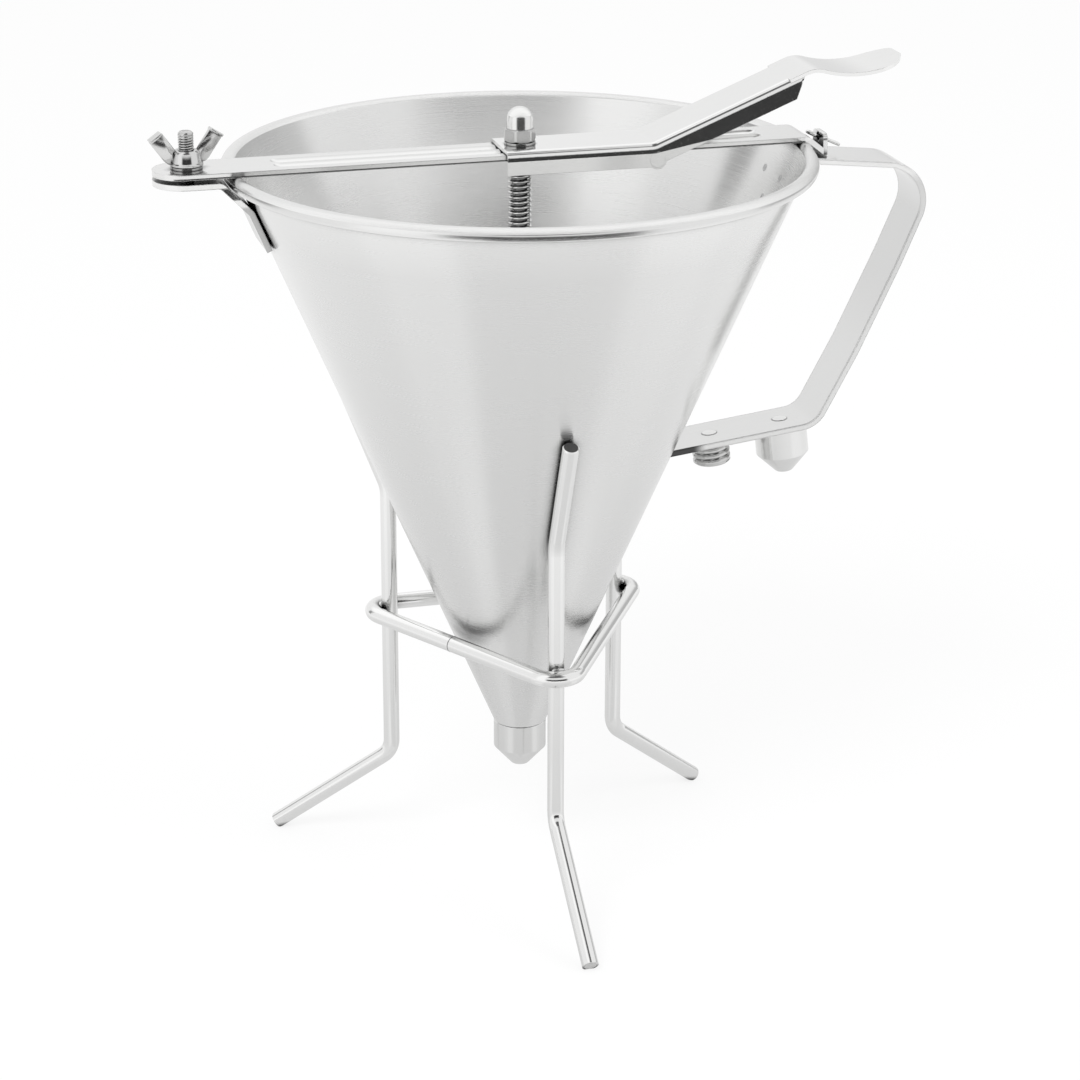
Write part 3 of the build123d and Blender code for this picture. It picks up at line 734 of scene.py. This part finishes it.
# Spot welds inside the wall, by turn in degrees and height: three on the handle's leg, two on the bracket's
SPOTS = ((6.0, 234.0), (-3.6, 233.8), (1.6, 225.8), (175.5, 231.5), (184.5, 226.5))
SPOT_ROWS = [(0.02, 0.09), (0.5, 0.09), (0.8, 0.02), (1.0, 0.1), (1.15, 0.1), (1.4, -0.04), (1.3, -0.06)]
SPOT_SEGMENTS = 24

spots = []
for degrees, height in SPOTS:
    outward = round_z(math.radians(degrees))
    wall_normal = outward * math.cos(half_angle) - UP * math.sin(half_angle)
    inner = outward * wall_radius(height, -CONE_SHEET) + UP * height
    spots.append(placed(turned(SPOT_ROWS, SPOT_SEGMENTS), inner, -wall_normal))
dress(add_mesh("weld_spots", joined(spots)), "funnel", "cone_steel", "spot_steel")

# Return spring: open coils with one closed coil at each end
SPRING_TOP = 245.95
SPRING_BOTTOM = 217.85
SPRING_WIRE = 0.9
SPRING_MEAN = 3.45
SPRING_TURNS = 17
CLOSED_PITCH = 1.06
COIL_STEPS = 24

coil_low = SPRING_BOTTOM + SPRING_WIRE / 2
coil_high = SPRING_TOP - SPRING_WIRE / 2
closed_rise = SPRING_WIRE * CLOSED_PITCH
open_rise = (coil_high - coil_low - 2 * closed_rise) / (SPRING_TURNS - 2)
coil_points = []
for step in range(SPRING_TURNS * COIL_STEPS + 1):
    turns = step / COIL_STEPS
    rise = closed_rise * min(turns, 1.0)
    rise += open_rise * max(0.0, min(turns, SPRING_TURNS - 1) - 1.0)
    rise += closed_rise * max(0.0, turns - (SPRING_TURNS - 1))
    coil_points.append(round_z(2 * math.pi * turns) * SPRING_MEAN + UP * (coil_low + rise))
spring = add_mesh("spring_coil", tube(coil_points, SPRING_WIRE / 2), sharp=THREAD_SHARP)
dress(spring, "funnel", "spring_steel", replaced="return_spring")
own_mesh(spring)

# Clamp stud: fine thread with a chamfered top
CLAMP_STUD_RADIUS = 2.45
CLAMP_STUD_PITCH = 0.8
CLAMP_STUD_DEPTH = 0.45
CLAMP_STUD_PLAIN = 2.0

stud_low, stud_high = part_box("clamp_stud")
stud_bottom = stud_low[2] / MM
stud_top = stud_high[2] / MM
stud_rows = [(CLAMP_STUD_RADIUS, stud_bottom)]
stud_rows += thread(
    CLAMP_STUD_RADIUS,
    CLAMP_STUD_DEPTH,
    stud_bottom + CLAMP_STUD_PLAIN,
    stud_top - THREAD_CHAMFER,
    CLAMP_STUD_PITCH,
)
stud_rows.append((CLAMP_STUD_RADIUS - THREAD_CHAMFER, stud_top))
stud_shape = placed(turned(stud_rows, pitch=CLAMP_STUD_PITCH), (CLAMP_X, 0, 0))
clamp_stud = add_mesh("clamp_stud_thread", stud_shape, sharp=THREAD_SHARP)
dress(clamp_stud, "funnel", "thread_steel", replaced="clamp_stud")

# Nozzle studs: a shank riveted through the lower arm and a coarse thread under it
SHANK_RADIUS = 2.5
HEAD_HEIGHT = 0.15

arm_down = Vector((math.sin(LOWER_SLOPE), 0, -math.cos(LOWER_SLOPE)))
head_top = HANDLE_SHEET + WELD_GAP + HEAD_HEIGHT


def under_arm(x, gap):
    """Point a gap under the lower arm's sheet."""
    fall = (HANDLE_BOTTOM_X - x) * math.tan(LOWER_SLOPE)
    return Vector((x, 0, HANDLE_BOTTOM_Z - fall)) + arm_down * (HANDLE_SHEET / 2 + gap)


nozzle_stud_rows = [(SHANK_RADIUS, -HANDLE_SHEET), (SHANK_RADIUS, 0), (THREAD_RADIUS, 0)]
nozzle_stud_rows += thread(
    THREAD_RADIUS, THREAD_DEPTH, THREAD_START, STUD_LENGTH - THREAD_END, THREAD_PITCH
)
nozzle_stud_rows.append((THREAD_RADIUS - THREAD_CHAMFER, STUD_LENGTH))
head_rows = [
    (SHANK_RADIUS - HEAD_HEIGHT / 2, -head_top),
    (SHANK_RADIUS, HEAD_HEIGHT / 2 - head_top),
    (SHANK_RADIUS, -HANDLE_SHEET),
]
rivet_heads = []
for name, stud_x in (("inner", INNER_STUD_X), ("outer", OUTER_STUD_X)):
    seat = under_arm(stud_x, WELD_GAP)
    shape = placed(turned(nozzle_stud_rows, pitch=THREAD_PITCH), seat, arm_down)
    piece = add_mesh(f"nozzle_stud_{name}_thread", shape, sharp=THREAD_SHARP)
    dress(piece, "funnel", "thread_steel", replaced=f"nozzle_stud_{name}")
    rivet_heads.append(placed(turned(head_rows), seat, arm_down))
heads = add_mesh("rivet_heads", joined(rivet_heads), sharp=TURNED_SHARP)
dress(heads, "funnel", "thread_steel", "strip_steel")

# Nozzles: turned, with thin chamfers
NOZZLE_RADIUS = 8.8
NOZZLE_BORE = 6.35
NOZZLE_CYLINDER = 9.6
NOZZLE_LENGTH = 16.0
NOZZLE_TIP = 3.1
NOZZLE_ORIFICE = 2.2
NOZZLE_LAND = 2.0
NOZZLE_STEP = 0.7
NOZZLE_SEGMENTS = 96
FACE_CHAMFER = 0.25
FACE_GAP = 0.1
EDGE_BREAK = 0.1
SHOULDER_INSET = 0.08
SHOULDER_DROP = 0.06
TIP_FLARE = 0.12
TIP_DROP = 0.2

nozzle_depth = STUD_LENGTH + FACE_GAP
nozzle_rows = [
    (NOZZLE_BORE, 0),
    (NOZZLE_RADIUS - FACE_CHAMFER, 0),
    (NOZZLE_RADIUS, FACE_CHAMFER),
    (NOZZLE_RADIUS, NOZZLE_CYLINDER / 2),
    (NOZZLE_RADIUS, NOZZLE_CYLINDER - EDGE_BREAK),
    (NOZZLE_RADIUS - SHOULDER_INSET, NOZZLE_CYLINDER + SHOULDER_DROP),
    (NOZZLE_TIP + TIP_FLARE, NOZZLE_LENGTH - TIP_DROP),
    (NOZZLE_TIP - EDGE_BREAK, NOZZLE_LENGTH),
    (NOZZLE_ORIFICE, NOZZLE_LENGTH),
    (NOZZLE_ORIFICE, NOZZLE_LENGTH - NOZZLE_LAND),
    (NOZZLE_BORE - NOZZLE_STEP, nozzle_depth + NOZZLE_STEP),
    (NOZZLE_BORE, nozzle_depth),
]
nozzle_shape = turned(nozzle_rows, NOZZLE_SEGMENTS, closed=True)
outlet_seat = (0, 0, OUTLET_HEIGHT - FACE_GAP)
spare_seat = under_arm(OUTER_STUD_X, FACE_GAP)
for body, seat, along in (("outlet", outlet_seat, -UP), ("spare", spare_seat, arm_down)):
    nozzle = add_mesh(f"{body}_nozzle_turned", placed(nozzle_shape, seat, along), sharp=TURNED_SHARP)
    dress(nozzle, body, "nozzle_steel", replaced=f"{body}_nozzle")

# Pivot: the rivet's heads, dressed flush with the lever's flanges
PIVOT_HEAD = 2.6
PIVOT_PROUD = 0.06
PIVOT_CHAMFER = 0.05
PIVOT_CENTRE = 0.04

pivot_low, pivot_high = (Vector(corner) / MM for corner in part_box("pivot_pin"))
pivot_middle = (pivot_low + pivot_high) / 2
pivot_rows = [(PIVOT_CENTRE, PIVOT_PROUD), (PIVOT_HEAD - PIVOT_CHAMFER, PIVOT_PROUD), (PIVOT_HEAD, 0)]
pivot_heads = []
for face_y, side in ((pivot_low.y, -1), (pivot_high.y, 1)):
    pivot_heads.append(placed(turned(pivot_rows), (pivot_middle.x, face_y, pivot_middle.z), (0, side, 0)))
dress(add_mesh("pivot_heads", joined(pivot_heads), sharp=TURNED_SHARP), "lever", "lever_steel")

# Wing nut: hub with a skirt and a rounded crown, and two plate wings, each with a lip along its tip
HUB_BORE = 2.5
HUB_RADIUS = 4.75
HUB_TOP_RADIUS = 4.3
HUB_HEIGHT = 5.0
HUB_CROWN = ((0.0, 1.0), (0.3, 0.4), (0.8, 0.0))
HUB_SHARP = 25.0
SKIRT_RADIUS = 5.25
SKIRT_HEIGHT = 0.9
SKIRT_CHAMFER = 0.35
WING_TURN = math.radians(10.0)
WING_SHEET = 1.3
WING_ROUNDING = 0.3
WING_TIP_OUTER = (11.9, 8.4)
WING_TIP_INNER = (7.8, 11.1)
WING_OUTLINE = [(3.2, 0.8), (5.9, 0.9), (7.2, 1.9), WING_TIP_OUTER, WING_TIP_INNER, (3.3, 4.8)]
LIP_DEPTH = 1.1
LIP_SHEET = 1.0
LIP_SET_IN = 0.2

nut_base = Vector((CLAMP_X, 0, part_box("wing_nut")[0][2] / MM))
hub_rows = [
    (HUB_BORE, 0),
    (SKIRT_RADIUS - SKIRT_CHAMFER, 0),
    (SKIRT_RADIUS, SKIRT_CHAMFER),
    (SKIRT_RADIUS, SKIRT_HEIGHT),
    (HUB_RADIUS, SKIRT_HEIGHT + SKIRT_CHAMFER),
]
hub_rows += [(HUB_TOP_RADIUS - inset, HUB_HEIGHT - drop) for inset, drop in HUB_CROWN]
hub_rows.append((HUB_BORE, HUB_HEIGHT))
hub = add_mesh("wing_nut_hub", placed(turned(hub_rows, closed=True), nut_base), sharp=HUB_SHARP)
dress(hub, "wing", "nut_steel", replaced="wing_nut")

lip_half = LIP_DEPTH + WING_SHEET / 2
wing_parts = []
for side in (-1, 1):
    across = round_z(WING_TURN) * side
    wing_parts.append(prism(WING_OUTLINE, nut_base, across, UP, WING_SHEET))
    outer, inner = (across * along + UP * rise for along, rise in (WING_TIP_OUTER, WING_TIP_INNER))
    lip_end = (inner - outer).length - LIP_SET_IN
    lip = [(-lip_half, LIP_SET_IN), (lip_half, LIP_SET_IN), (lip_half, lip_end), (-lip_half, lip_end)]
    along_tip = (inner - outer).normalized()
    wing_parts.append(prism(lip, nut_base + outer, across.cross(UP), along_tip, LIP_SHEET))
wings = add_mesh("wing_nut_wings", joined(wing_parts), rounding=WING_ROUNDING)
dress(wings, "wing", "nut_steel")

# Outlet spigot: collar with the seat, and the threaded neck that the nozzle screws on
SEAT_HEIGHT = 6.0
SEAT_LIP = 0.3
SPIGOT_BORE = 4.0
SPIGOT_LENGTH = 8.0
SPIGOT_SEGMENTS = 64

seat_top = OUTLET_HEIGHT + SEAT_HEIGHT
spigot_end = OUTLET_HEIGHT - SPIGOT_LENGTH
collar_radius = wall_radius(seat_top, -CONE_SHEET - WELD_GAP)
seat_radius = collar_radius - SEAT_LIP
spigot_rows = [
    (wall_radius(OUTLET_HEIGHT, -CONE_SHEET - WELD_GAP), OUTLET_HEIGHT),
    (collar_radius, seat_top),
    (seat_radius, seat_top),
    (SPIGOT_BORE, seat_top - seat_radius + SPIGOT_BORE),
    (SPIGOT_BORE, spigot_end),
    (THREAD_RADIUS - THREAD_CHAMFER, spigot_end),
]
spigot_rows += thread(
    THREAD_RADIUS, THREAD_DEPTH, spigot_end + THREAD_END, OUTLET_HEIGHT - THREAD_START, THREAD_PITCH
)
spigot_rows.append((THREAD_RADIUS, OUTLET_HEIGHT))
spigot_shape = turned(spigot_rows, SPIGOT_SEGMENTS, closed=True, pitch=THREAD_PITCH)
spigot = add_mesh("outlet_spigot_thread", spigot_shape, sharp=THREAD_SHARP)
dress(spigot, "funnel", "rod_steel", replaced="outlet_spigot")

# Stand: sawn ends of the legs, weld beads at the ring and the ring's butt joint
WIRE_RADIUS = 2.7
LEG_RADIUS = 45.6
LEG_HEIGHT = 167.5
LEG_REST_GAP = 0.3
FOOT_REACH = 88.0
FOOT_SLOPE = math.radians(37.0)
FOOT_FLAT = 0.4
RING_HEIGHT = 85.6
RING_VERTEX = 58.95
LEG_TURNS = [math.radians(degrees) for degrees in (-90.0, 30.0, 150.0)]
SAWN_ROWS = [(2.2, -0.02), (2.22, 0.05), (1.9, 0.1), (1.5, 0.06), (1.0, 0.1), (0.5, 0.05), (0.04, 0.09)]
SAWN_SEGMENTS = 24
FOOT_SCALE = 0.92
WELD_RADIUS = 1.05
WELD_CORE = 0.05
WELD_HALF_LENGTH = 2.4
WELD_RIPPLE = 0.08
WELD_STEPS = 12
WELD_SEGMENTS = 16
WELD_RISE = 1.7
JOINT_STEPS = 8
JOINT_SEGMENTS = 32
JOINT_SUNK = 0.05
JOINT_BULGE = 0.1
JOINT_HALF_LENGTH = 0.2
JOINT_SHIFT = 1.5

weld_rows = []
for step in range(WELD_STEPS + 1):
    along = 2 * step / WELD_STEPS - 1.0
    ripple = 1.0 + WELD_RIPPLE * math.cos(step * math.pi)
    bulge = WELD_RADIUS * ripple * math.sqrt(max(0.0, 1.0 - along * along))
    weld_rows.append((WELD_CORE + bulge, WELD_HALF_LENGTH * along))
foot_rows = [(FOOT_SCALE * radius, height) for radius, height in SAWN_ROWS]
top_reach = wall_radius(LEG_HEIGHT, LEG_REST_GAP + WIRE_RADIUS)
foot_height = WIRE_RADIUS * math.cos(FOOT_SLOPE) - FOOT_FLAT
leg_ends = []
foot_ends = []
weld_beads = []
for turn in LEG_TURNS:
    outward = round_z(turn)
    up_wall = outward * math.sin(half_angle) + UP * math.cos(half_angle)
    leg_top = outward * top_reach + UP * LEG_HEIGHT
    leg_ends.append(placed(turned(SAWN_ROWS, SAWN_SEGMENTS), leg_top, up_wall))
    down_foot = outward * math.cos(FOOT_SLOPE) - UP * math.sin(FOOT_SLOPE)
    foot = outward * FOOT_REACH + UP * foot_height
    foot_ends.append(placed(turned(foot_rows, SAWN_SEGMENTS), foot, down_foot))
    for side in (-1, 1):
        weld = outward * (LEG_RADIUS + WIRE_RADIUS) + UP * (RING_HEIGHT + side * WELD_RISE)
        weld_beads.append(placed(turned(weld_rows, WELD_SEGMENTS), weld, UP.cross(outward)))
dress(add_mesh("leg_ends", joined(leg_ends)), "stand", "wire_steel", "cut_steel")
dress(add_mesh("foot_ends", joined(foot_ends)), "stand", "wire_steel", "foot_steel")
dress(add_mesh("weld_beads", joined(weld_beads), sharp=WELD_SHARP), "stand", "wire_steel")

joint_rows = []
for step in range(JOINT_STEPS):
    turn = 2 * math.pi * step / JOINT_STEPS
    joint_radius = WIRE_RADIUS - JOINT_SUNK + JOINT_BULGE * math.cos(turn)
    joint_rows.append((joint_radius, JOINT_HALF_LENGTH * math.sin(turn)))
ring_front = round_z(LEG_TURNS[0]) * RING_VERTEX
ring_left = round_z(LEG_TURNS[2]) * RING_VERTEX
ring_side = (ring_left - ring_front).normalized()
joint_place = (ring_front + ring_left) / 2 + ring_side * JOINT_SHIFT + UP * RING_HEIGHT
joint_shape = placed(turned(joint_rows, JOINT_SEGMENTS, closed=True), joint_place, ring_side)
dress(add_mesh("ring_joint", joint_shape), "stand", "wire_steel", "cut_steel")


# Studio: white to the camera, with paler and darker zones that the metal alone sees
DEGREES = math.degrees(1.0)


def seen_rays(tree):
    """One for camera, glossy and transmission rays, else nought."""
    rays = tree.nodes.new("ShaderNodeLightPath").outputs
    seen = Signal(tree, rays["Is Camera Ray"])
    for kind in ("Is Glossy Ray", "Is Transmission Ray"):
        seen = seen.at_least(Signal(tree, rays[kind]))
    return seen


def with_zones(level, zones, turn, measure):
    """Level raised or lowered in zones, each bounded by fades over the turn and over a second measure."""
    for turn_fades, measure_fades, gain in zones.values():
        inside = gain
        for signal, fades in ((turn, turn_fades), (measure, measure_fades)):
            for begin, end in fades:
                inside = signal.fade(begin, end) * inside
        level = level * (inside + 1.0)
    return level


def mixed(tree, share, plain, seen, output):
    """Join two shaders by a share, at a tree's output."""
    mix = tree.nodes.new("ShaderNodeMixShader")
    tree.links.new(share.socket, mix.inputs["Fac"])
    tree.links.new(plain.outputs[0], mix.inputs[1])
    tree.links.new(seen.outputs[0], mix.inputs[2])
    tree.links.new(mix.outputs[0], tree.nodes[output].inputs["Surface"])


# Floor: turns in degrees from a line just left of the front, and distances from the axis in millimetres
FLOOR_HALF = 30000.0
FLOOR_GREY = 0.86
FLOOR_ROUGHNESS = 0.9
FLOOR_WHITE_SHARE = 0.8
FLOOR_TURN_SHIFT = 2.0
FLOOR_LEVEL = 0.955
# Painted shadow that metal sees in the floor, darker towards the object's axis
FLOOR_SHADOW_REACH = (480.0, 30.0)
FLOOR_SHADOW_DROP = 0.26
# Painted light and shade that only metal sees in the floor: darker close in front, paler strips at either
# side and paler patches close by
FLOOR_ZONES = {
    "front": (((44.0, 34.0),), ((900.0, 600.0),), -0.05),
    "strips": (((36.0, 42.0), (84.0, 78.0)), (), 0.07),
    "close": (((40.0, 48.0), (70.0, 62.0)), ((145.0, 130.0), (75.0, 90.0)), 0.14),
}


def floor_finish():
    """Pale floor that keeps the shadow, and that metal sees with its zones and a painted shadow round the
    object.
    """
    material = bpy.data.materials.new("floor_look")
    material.use_nodes = True
    tree = material.node_tree
    plain = tree.nodes["Principled BSDF"]
    plain.inputs["Base Color"].default_value = (FLOOR_GREY, FLOOR_GREY, FLOOR_GREY, 1)
    plain.inputs["Roughness"].default_value = FLOOR_ROUGHNESS
    plain.inputs["Specular IOR Level"].default_value = 0.0
    x, y, z = place_parts(tree)
    reach = distance(x, y)
    turn = abs(turn_from_front(x, y) * DEGREES + FLOOR_TURN_SHIFT)
    # Painted shadow for metal: the floor's level drops towards the axis
    level = FLOOR_LEVEL - reach.fade(*FLOOR_SHADOW_REACH) * FLOOR_SHADOW_DROP
    level = with_zones(level, FLOOR_ZONES, turn, reach).at_most(1.0)
    glossy = Signal(tree, tree.nodes.new("ShaderNodeLightPath").outputs["Is Glossy Ray"])
    white = tree.nodes.new("ShaderNodeEmission")
    tree.links.new((1.0 - glossy * (1.0 - level)).socket, white.inputs["Strength"])
    mixed(tree, seen_rays(tree) * FLOOR_WHITE_SHARE, plain, white, "Material Output")
    return material


half = FLOOR_HALF * MM
floor_corners = [(-half, -half, 0), (half, -half, 0), (half, half, 0), (-half, half, 0)]
floor_mesh = bpy.data.meshes.new("floor")
floor_mesh.from_pydata(floor_corners, [], [(0, 1, 2, 3)])
floor = bpy.data.objects.new("floor", floor_mesh)
scene.collection.objects.link(floor)
floor.data.materials.append(floor_finish())

# World: turns in degrees from the front, positive to the right, and heights of a unit direction
AMBIENT_LEVEL = 0.95
STUDIO_LEVEL = 0.93
REAR_TOP_DEPTH = (0.2, 0.5)
REAR_TOP_HEIGHT = (0.45, 0.65)
REAR_TOP_GAIN = 0.2
LEFT_STRIP_TURNS = ((-44.0, -50.0), (-84.0, -74.0))
LEFT_STRIP_GAIN = 0.15
OVERHEAD = (0.08, -0.17, 0.982)
OVERHEAD_FADE = (0.972, 0.985)
OVERHEAD_DROP = 0.85
STUDIO_ZONES = {
    "front_mid": (((-38.0, -28.0), (52.0, -18.0)), ((0.85, 0.7),), -0.08),
    "front_low": (((-46.0, -36.0), (36.0, 26.0)), ((0.38, 0.24),), -0.95),
    "front_top": (((-46.0, -36.0), (44.0, 20.0)), ((0.64, 0.72), (0.955, 0.93)), -0.85),
    "side_right": (((84.0, 94.0), (165.0, 145.0)), ((0.42, 0.22),), -0.45),
    "side_left": (((-118.0, -123.0), (-139.0, -133.0)), ((0.52, 0.36),), -0.63),
}


def studio_level(tree):
    """Signal of the light that metal sees in a direction."""
    x, y, z = split(tree, tree.nodes.new("ShaderNodeTexCoord").outputs["Generated"])
    turn = turn_from_front(x, y) * DEGREES
    rear_top = y.fade(*REAR_TOP_DEPTH) * z.fade(*REAR_TOP_HEIGHT)
    strip_in, strip_out = LEFT_STRIP_TURNS
    left_strip = turn.fade(*strip_in) * turn.fade(*strip_out)
    level = rear_top * REAR_TOP_GAIN + left_strip * LEFT_STRIP_GAIN + STUDIO_LEVEL
    level = with_zones(level, STUDIO_ZONES, turn, z)
    toward = x * OVERHEAD[0] + y * OVERHEAD[1] + z * OVERHEAD[2]
    return level * (1.0 - toward.fade(*OVERHEAD_FADE) * OVERHEAD_DROP)


world = bpy.data.worlds.new("studio")
scene.world = world
world.use_nodes = True
ambient = world.node_tree.nodes["Background"]
ambient.inputs["Color"].default_value = (1, 1, 1, 1)
ambient.inputs["Strength"].default_value = AMBIENT_LEVEL
backdrop = world.node_tree.nodes.new("ShaderNodeBackground")
backdrop.inputs["Color"].default_value = (1, 1, 1, 1)
world.node_tree.links.new(studio_level(world.node_tree).socket, backdrop.inputs["Strength"])
mixed(world.node_tree, seen_rays(world.node_tree), ambient, backdrop, "World Output")

# Dark card on the floor in front, in metres: only metal sees it
CARD_HEIGHT = 0.002
CARD_GREY = 0.03
CARD_NEAR = -1.5
CARD_FAR = -6.5
CARD_NEAR_LEFT = -0.7
CARD_NEAR_RIGHT = 0.9
CARD_FAR_HALF = 3.6

card_mesh = bpy.data.meshes.new("card_front")
card_corners = [
    (CARD_NEAR_LEFT, CARD_NEAR, CARD_HEIGHT),
    (CARD_NEAR_RIGHT, CARD_NEAR, CARD_HEIGHT),
    (CARD_FAR_HALF, CARD_FAR, CARD_HEIGHT),
    (-CARD_FAR_HALF, CARD_FAR, CARD_HEIGHT),
]
card_mesh.from_pydata(card_corners, [], [(0, 1, 2, 3)])
card = bpy.data.objects.new("card_front", card_mesh)
scene.collection.objects.link(card)
card_look = bpy.data.materials.new("card_front_look")
card_look.use_nodes = True
card_nodes = card_look.node_tree.nodes
card_nodes.remove(card_nodes["Principled BSDF"])
card_glow = card_nodes.new("ShaderNodeEmission")
card_glow.inputs["Color"].default_value = (CARD_GREY, CARD_GREY, CARD_GREY, 1)
card_look.node_tree.links.new(card_glow.outputs[0], card_nodes["Material Output"].inputs["Surface"])
card_mesh.materials.append(card_look)
card.visible_camera = False
card.visible_diffuse = False
card.visible_shadow = False

# Lamps, in metres and watts
OBJECT_MIDDLE = Vector((0, 0, 0.15))
LAMPS = {
    "key": {"place": (-0.9, -1.0, 1.7), "size": 0.9, "power": 16.0},
    "fill": {"place": (1.3, -0.9, 1.2), "size": 1.0, "power": 6.0},
}
for name, lamp in LAMPS.items():
    data = bpy.data.lights.new(name, "AREA")
    data.shape = "DISK"
    data.size = lamp["size"]
    data.energy = lamp["power"]
    light = bpy.data.objects.new(name, data)
    scene.collection.objects.link(light)
    light.location = lamp["place"]
    light.visible_glossy = False
    light.rotation_euler = (OBJECT_MIDDLE - light.location).to_track_quat("-Z", "Y").to_euler()

# Camera: fitted to the photograph, with the focal length and the middle of the view in its pixels
PHOTO_SIZE = 1080.0
FOCAL_LENGTH = 3185.8
VIEW_MIDDLE_X = 519.8
VIEW_MIDDLE_Y = 508.55
SENSOR_WIDTH = 36.0
CAMERA_PLACE = Vector((-0.2535, -0.9580, 0.4825))
CAMERA_TARGET = Vector((0, 0, 0.126))

camera_data = bpy.data.cameras.new("photo_camera")
camera_data.sensor_fit = "HORIZONTAL"
camera_data.sensor_width = SENSOR_WIDTH
camera_data.lens = SENSOR_WIDTH * FOCAL_LENGTH / PHOTO_SIZE
camera_data.shift_x = (PHOTO_SIZE / 2 - VIEW_MIDDLE_X) / PHOTO_SIZE
camera_data.shift_y = (VIEW_MIDDLE_Y - PHOTO_SIZE / 2) / PHOTO_SIZE
camera_data.clip_start = 0.05
camera_data.clip_end = 100.0
camera = bpy.data.objects.new("photo_camera", camera_data)
scene.collection.objects.link(camera)
camera.location = CAMERA_PLACE
camera.rotation_euler = (CAMERA_TARGET - CAMERA_PLACE).to_track_quat("-Z", "Y").to_euler()
scene.camera = camera
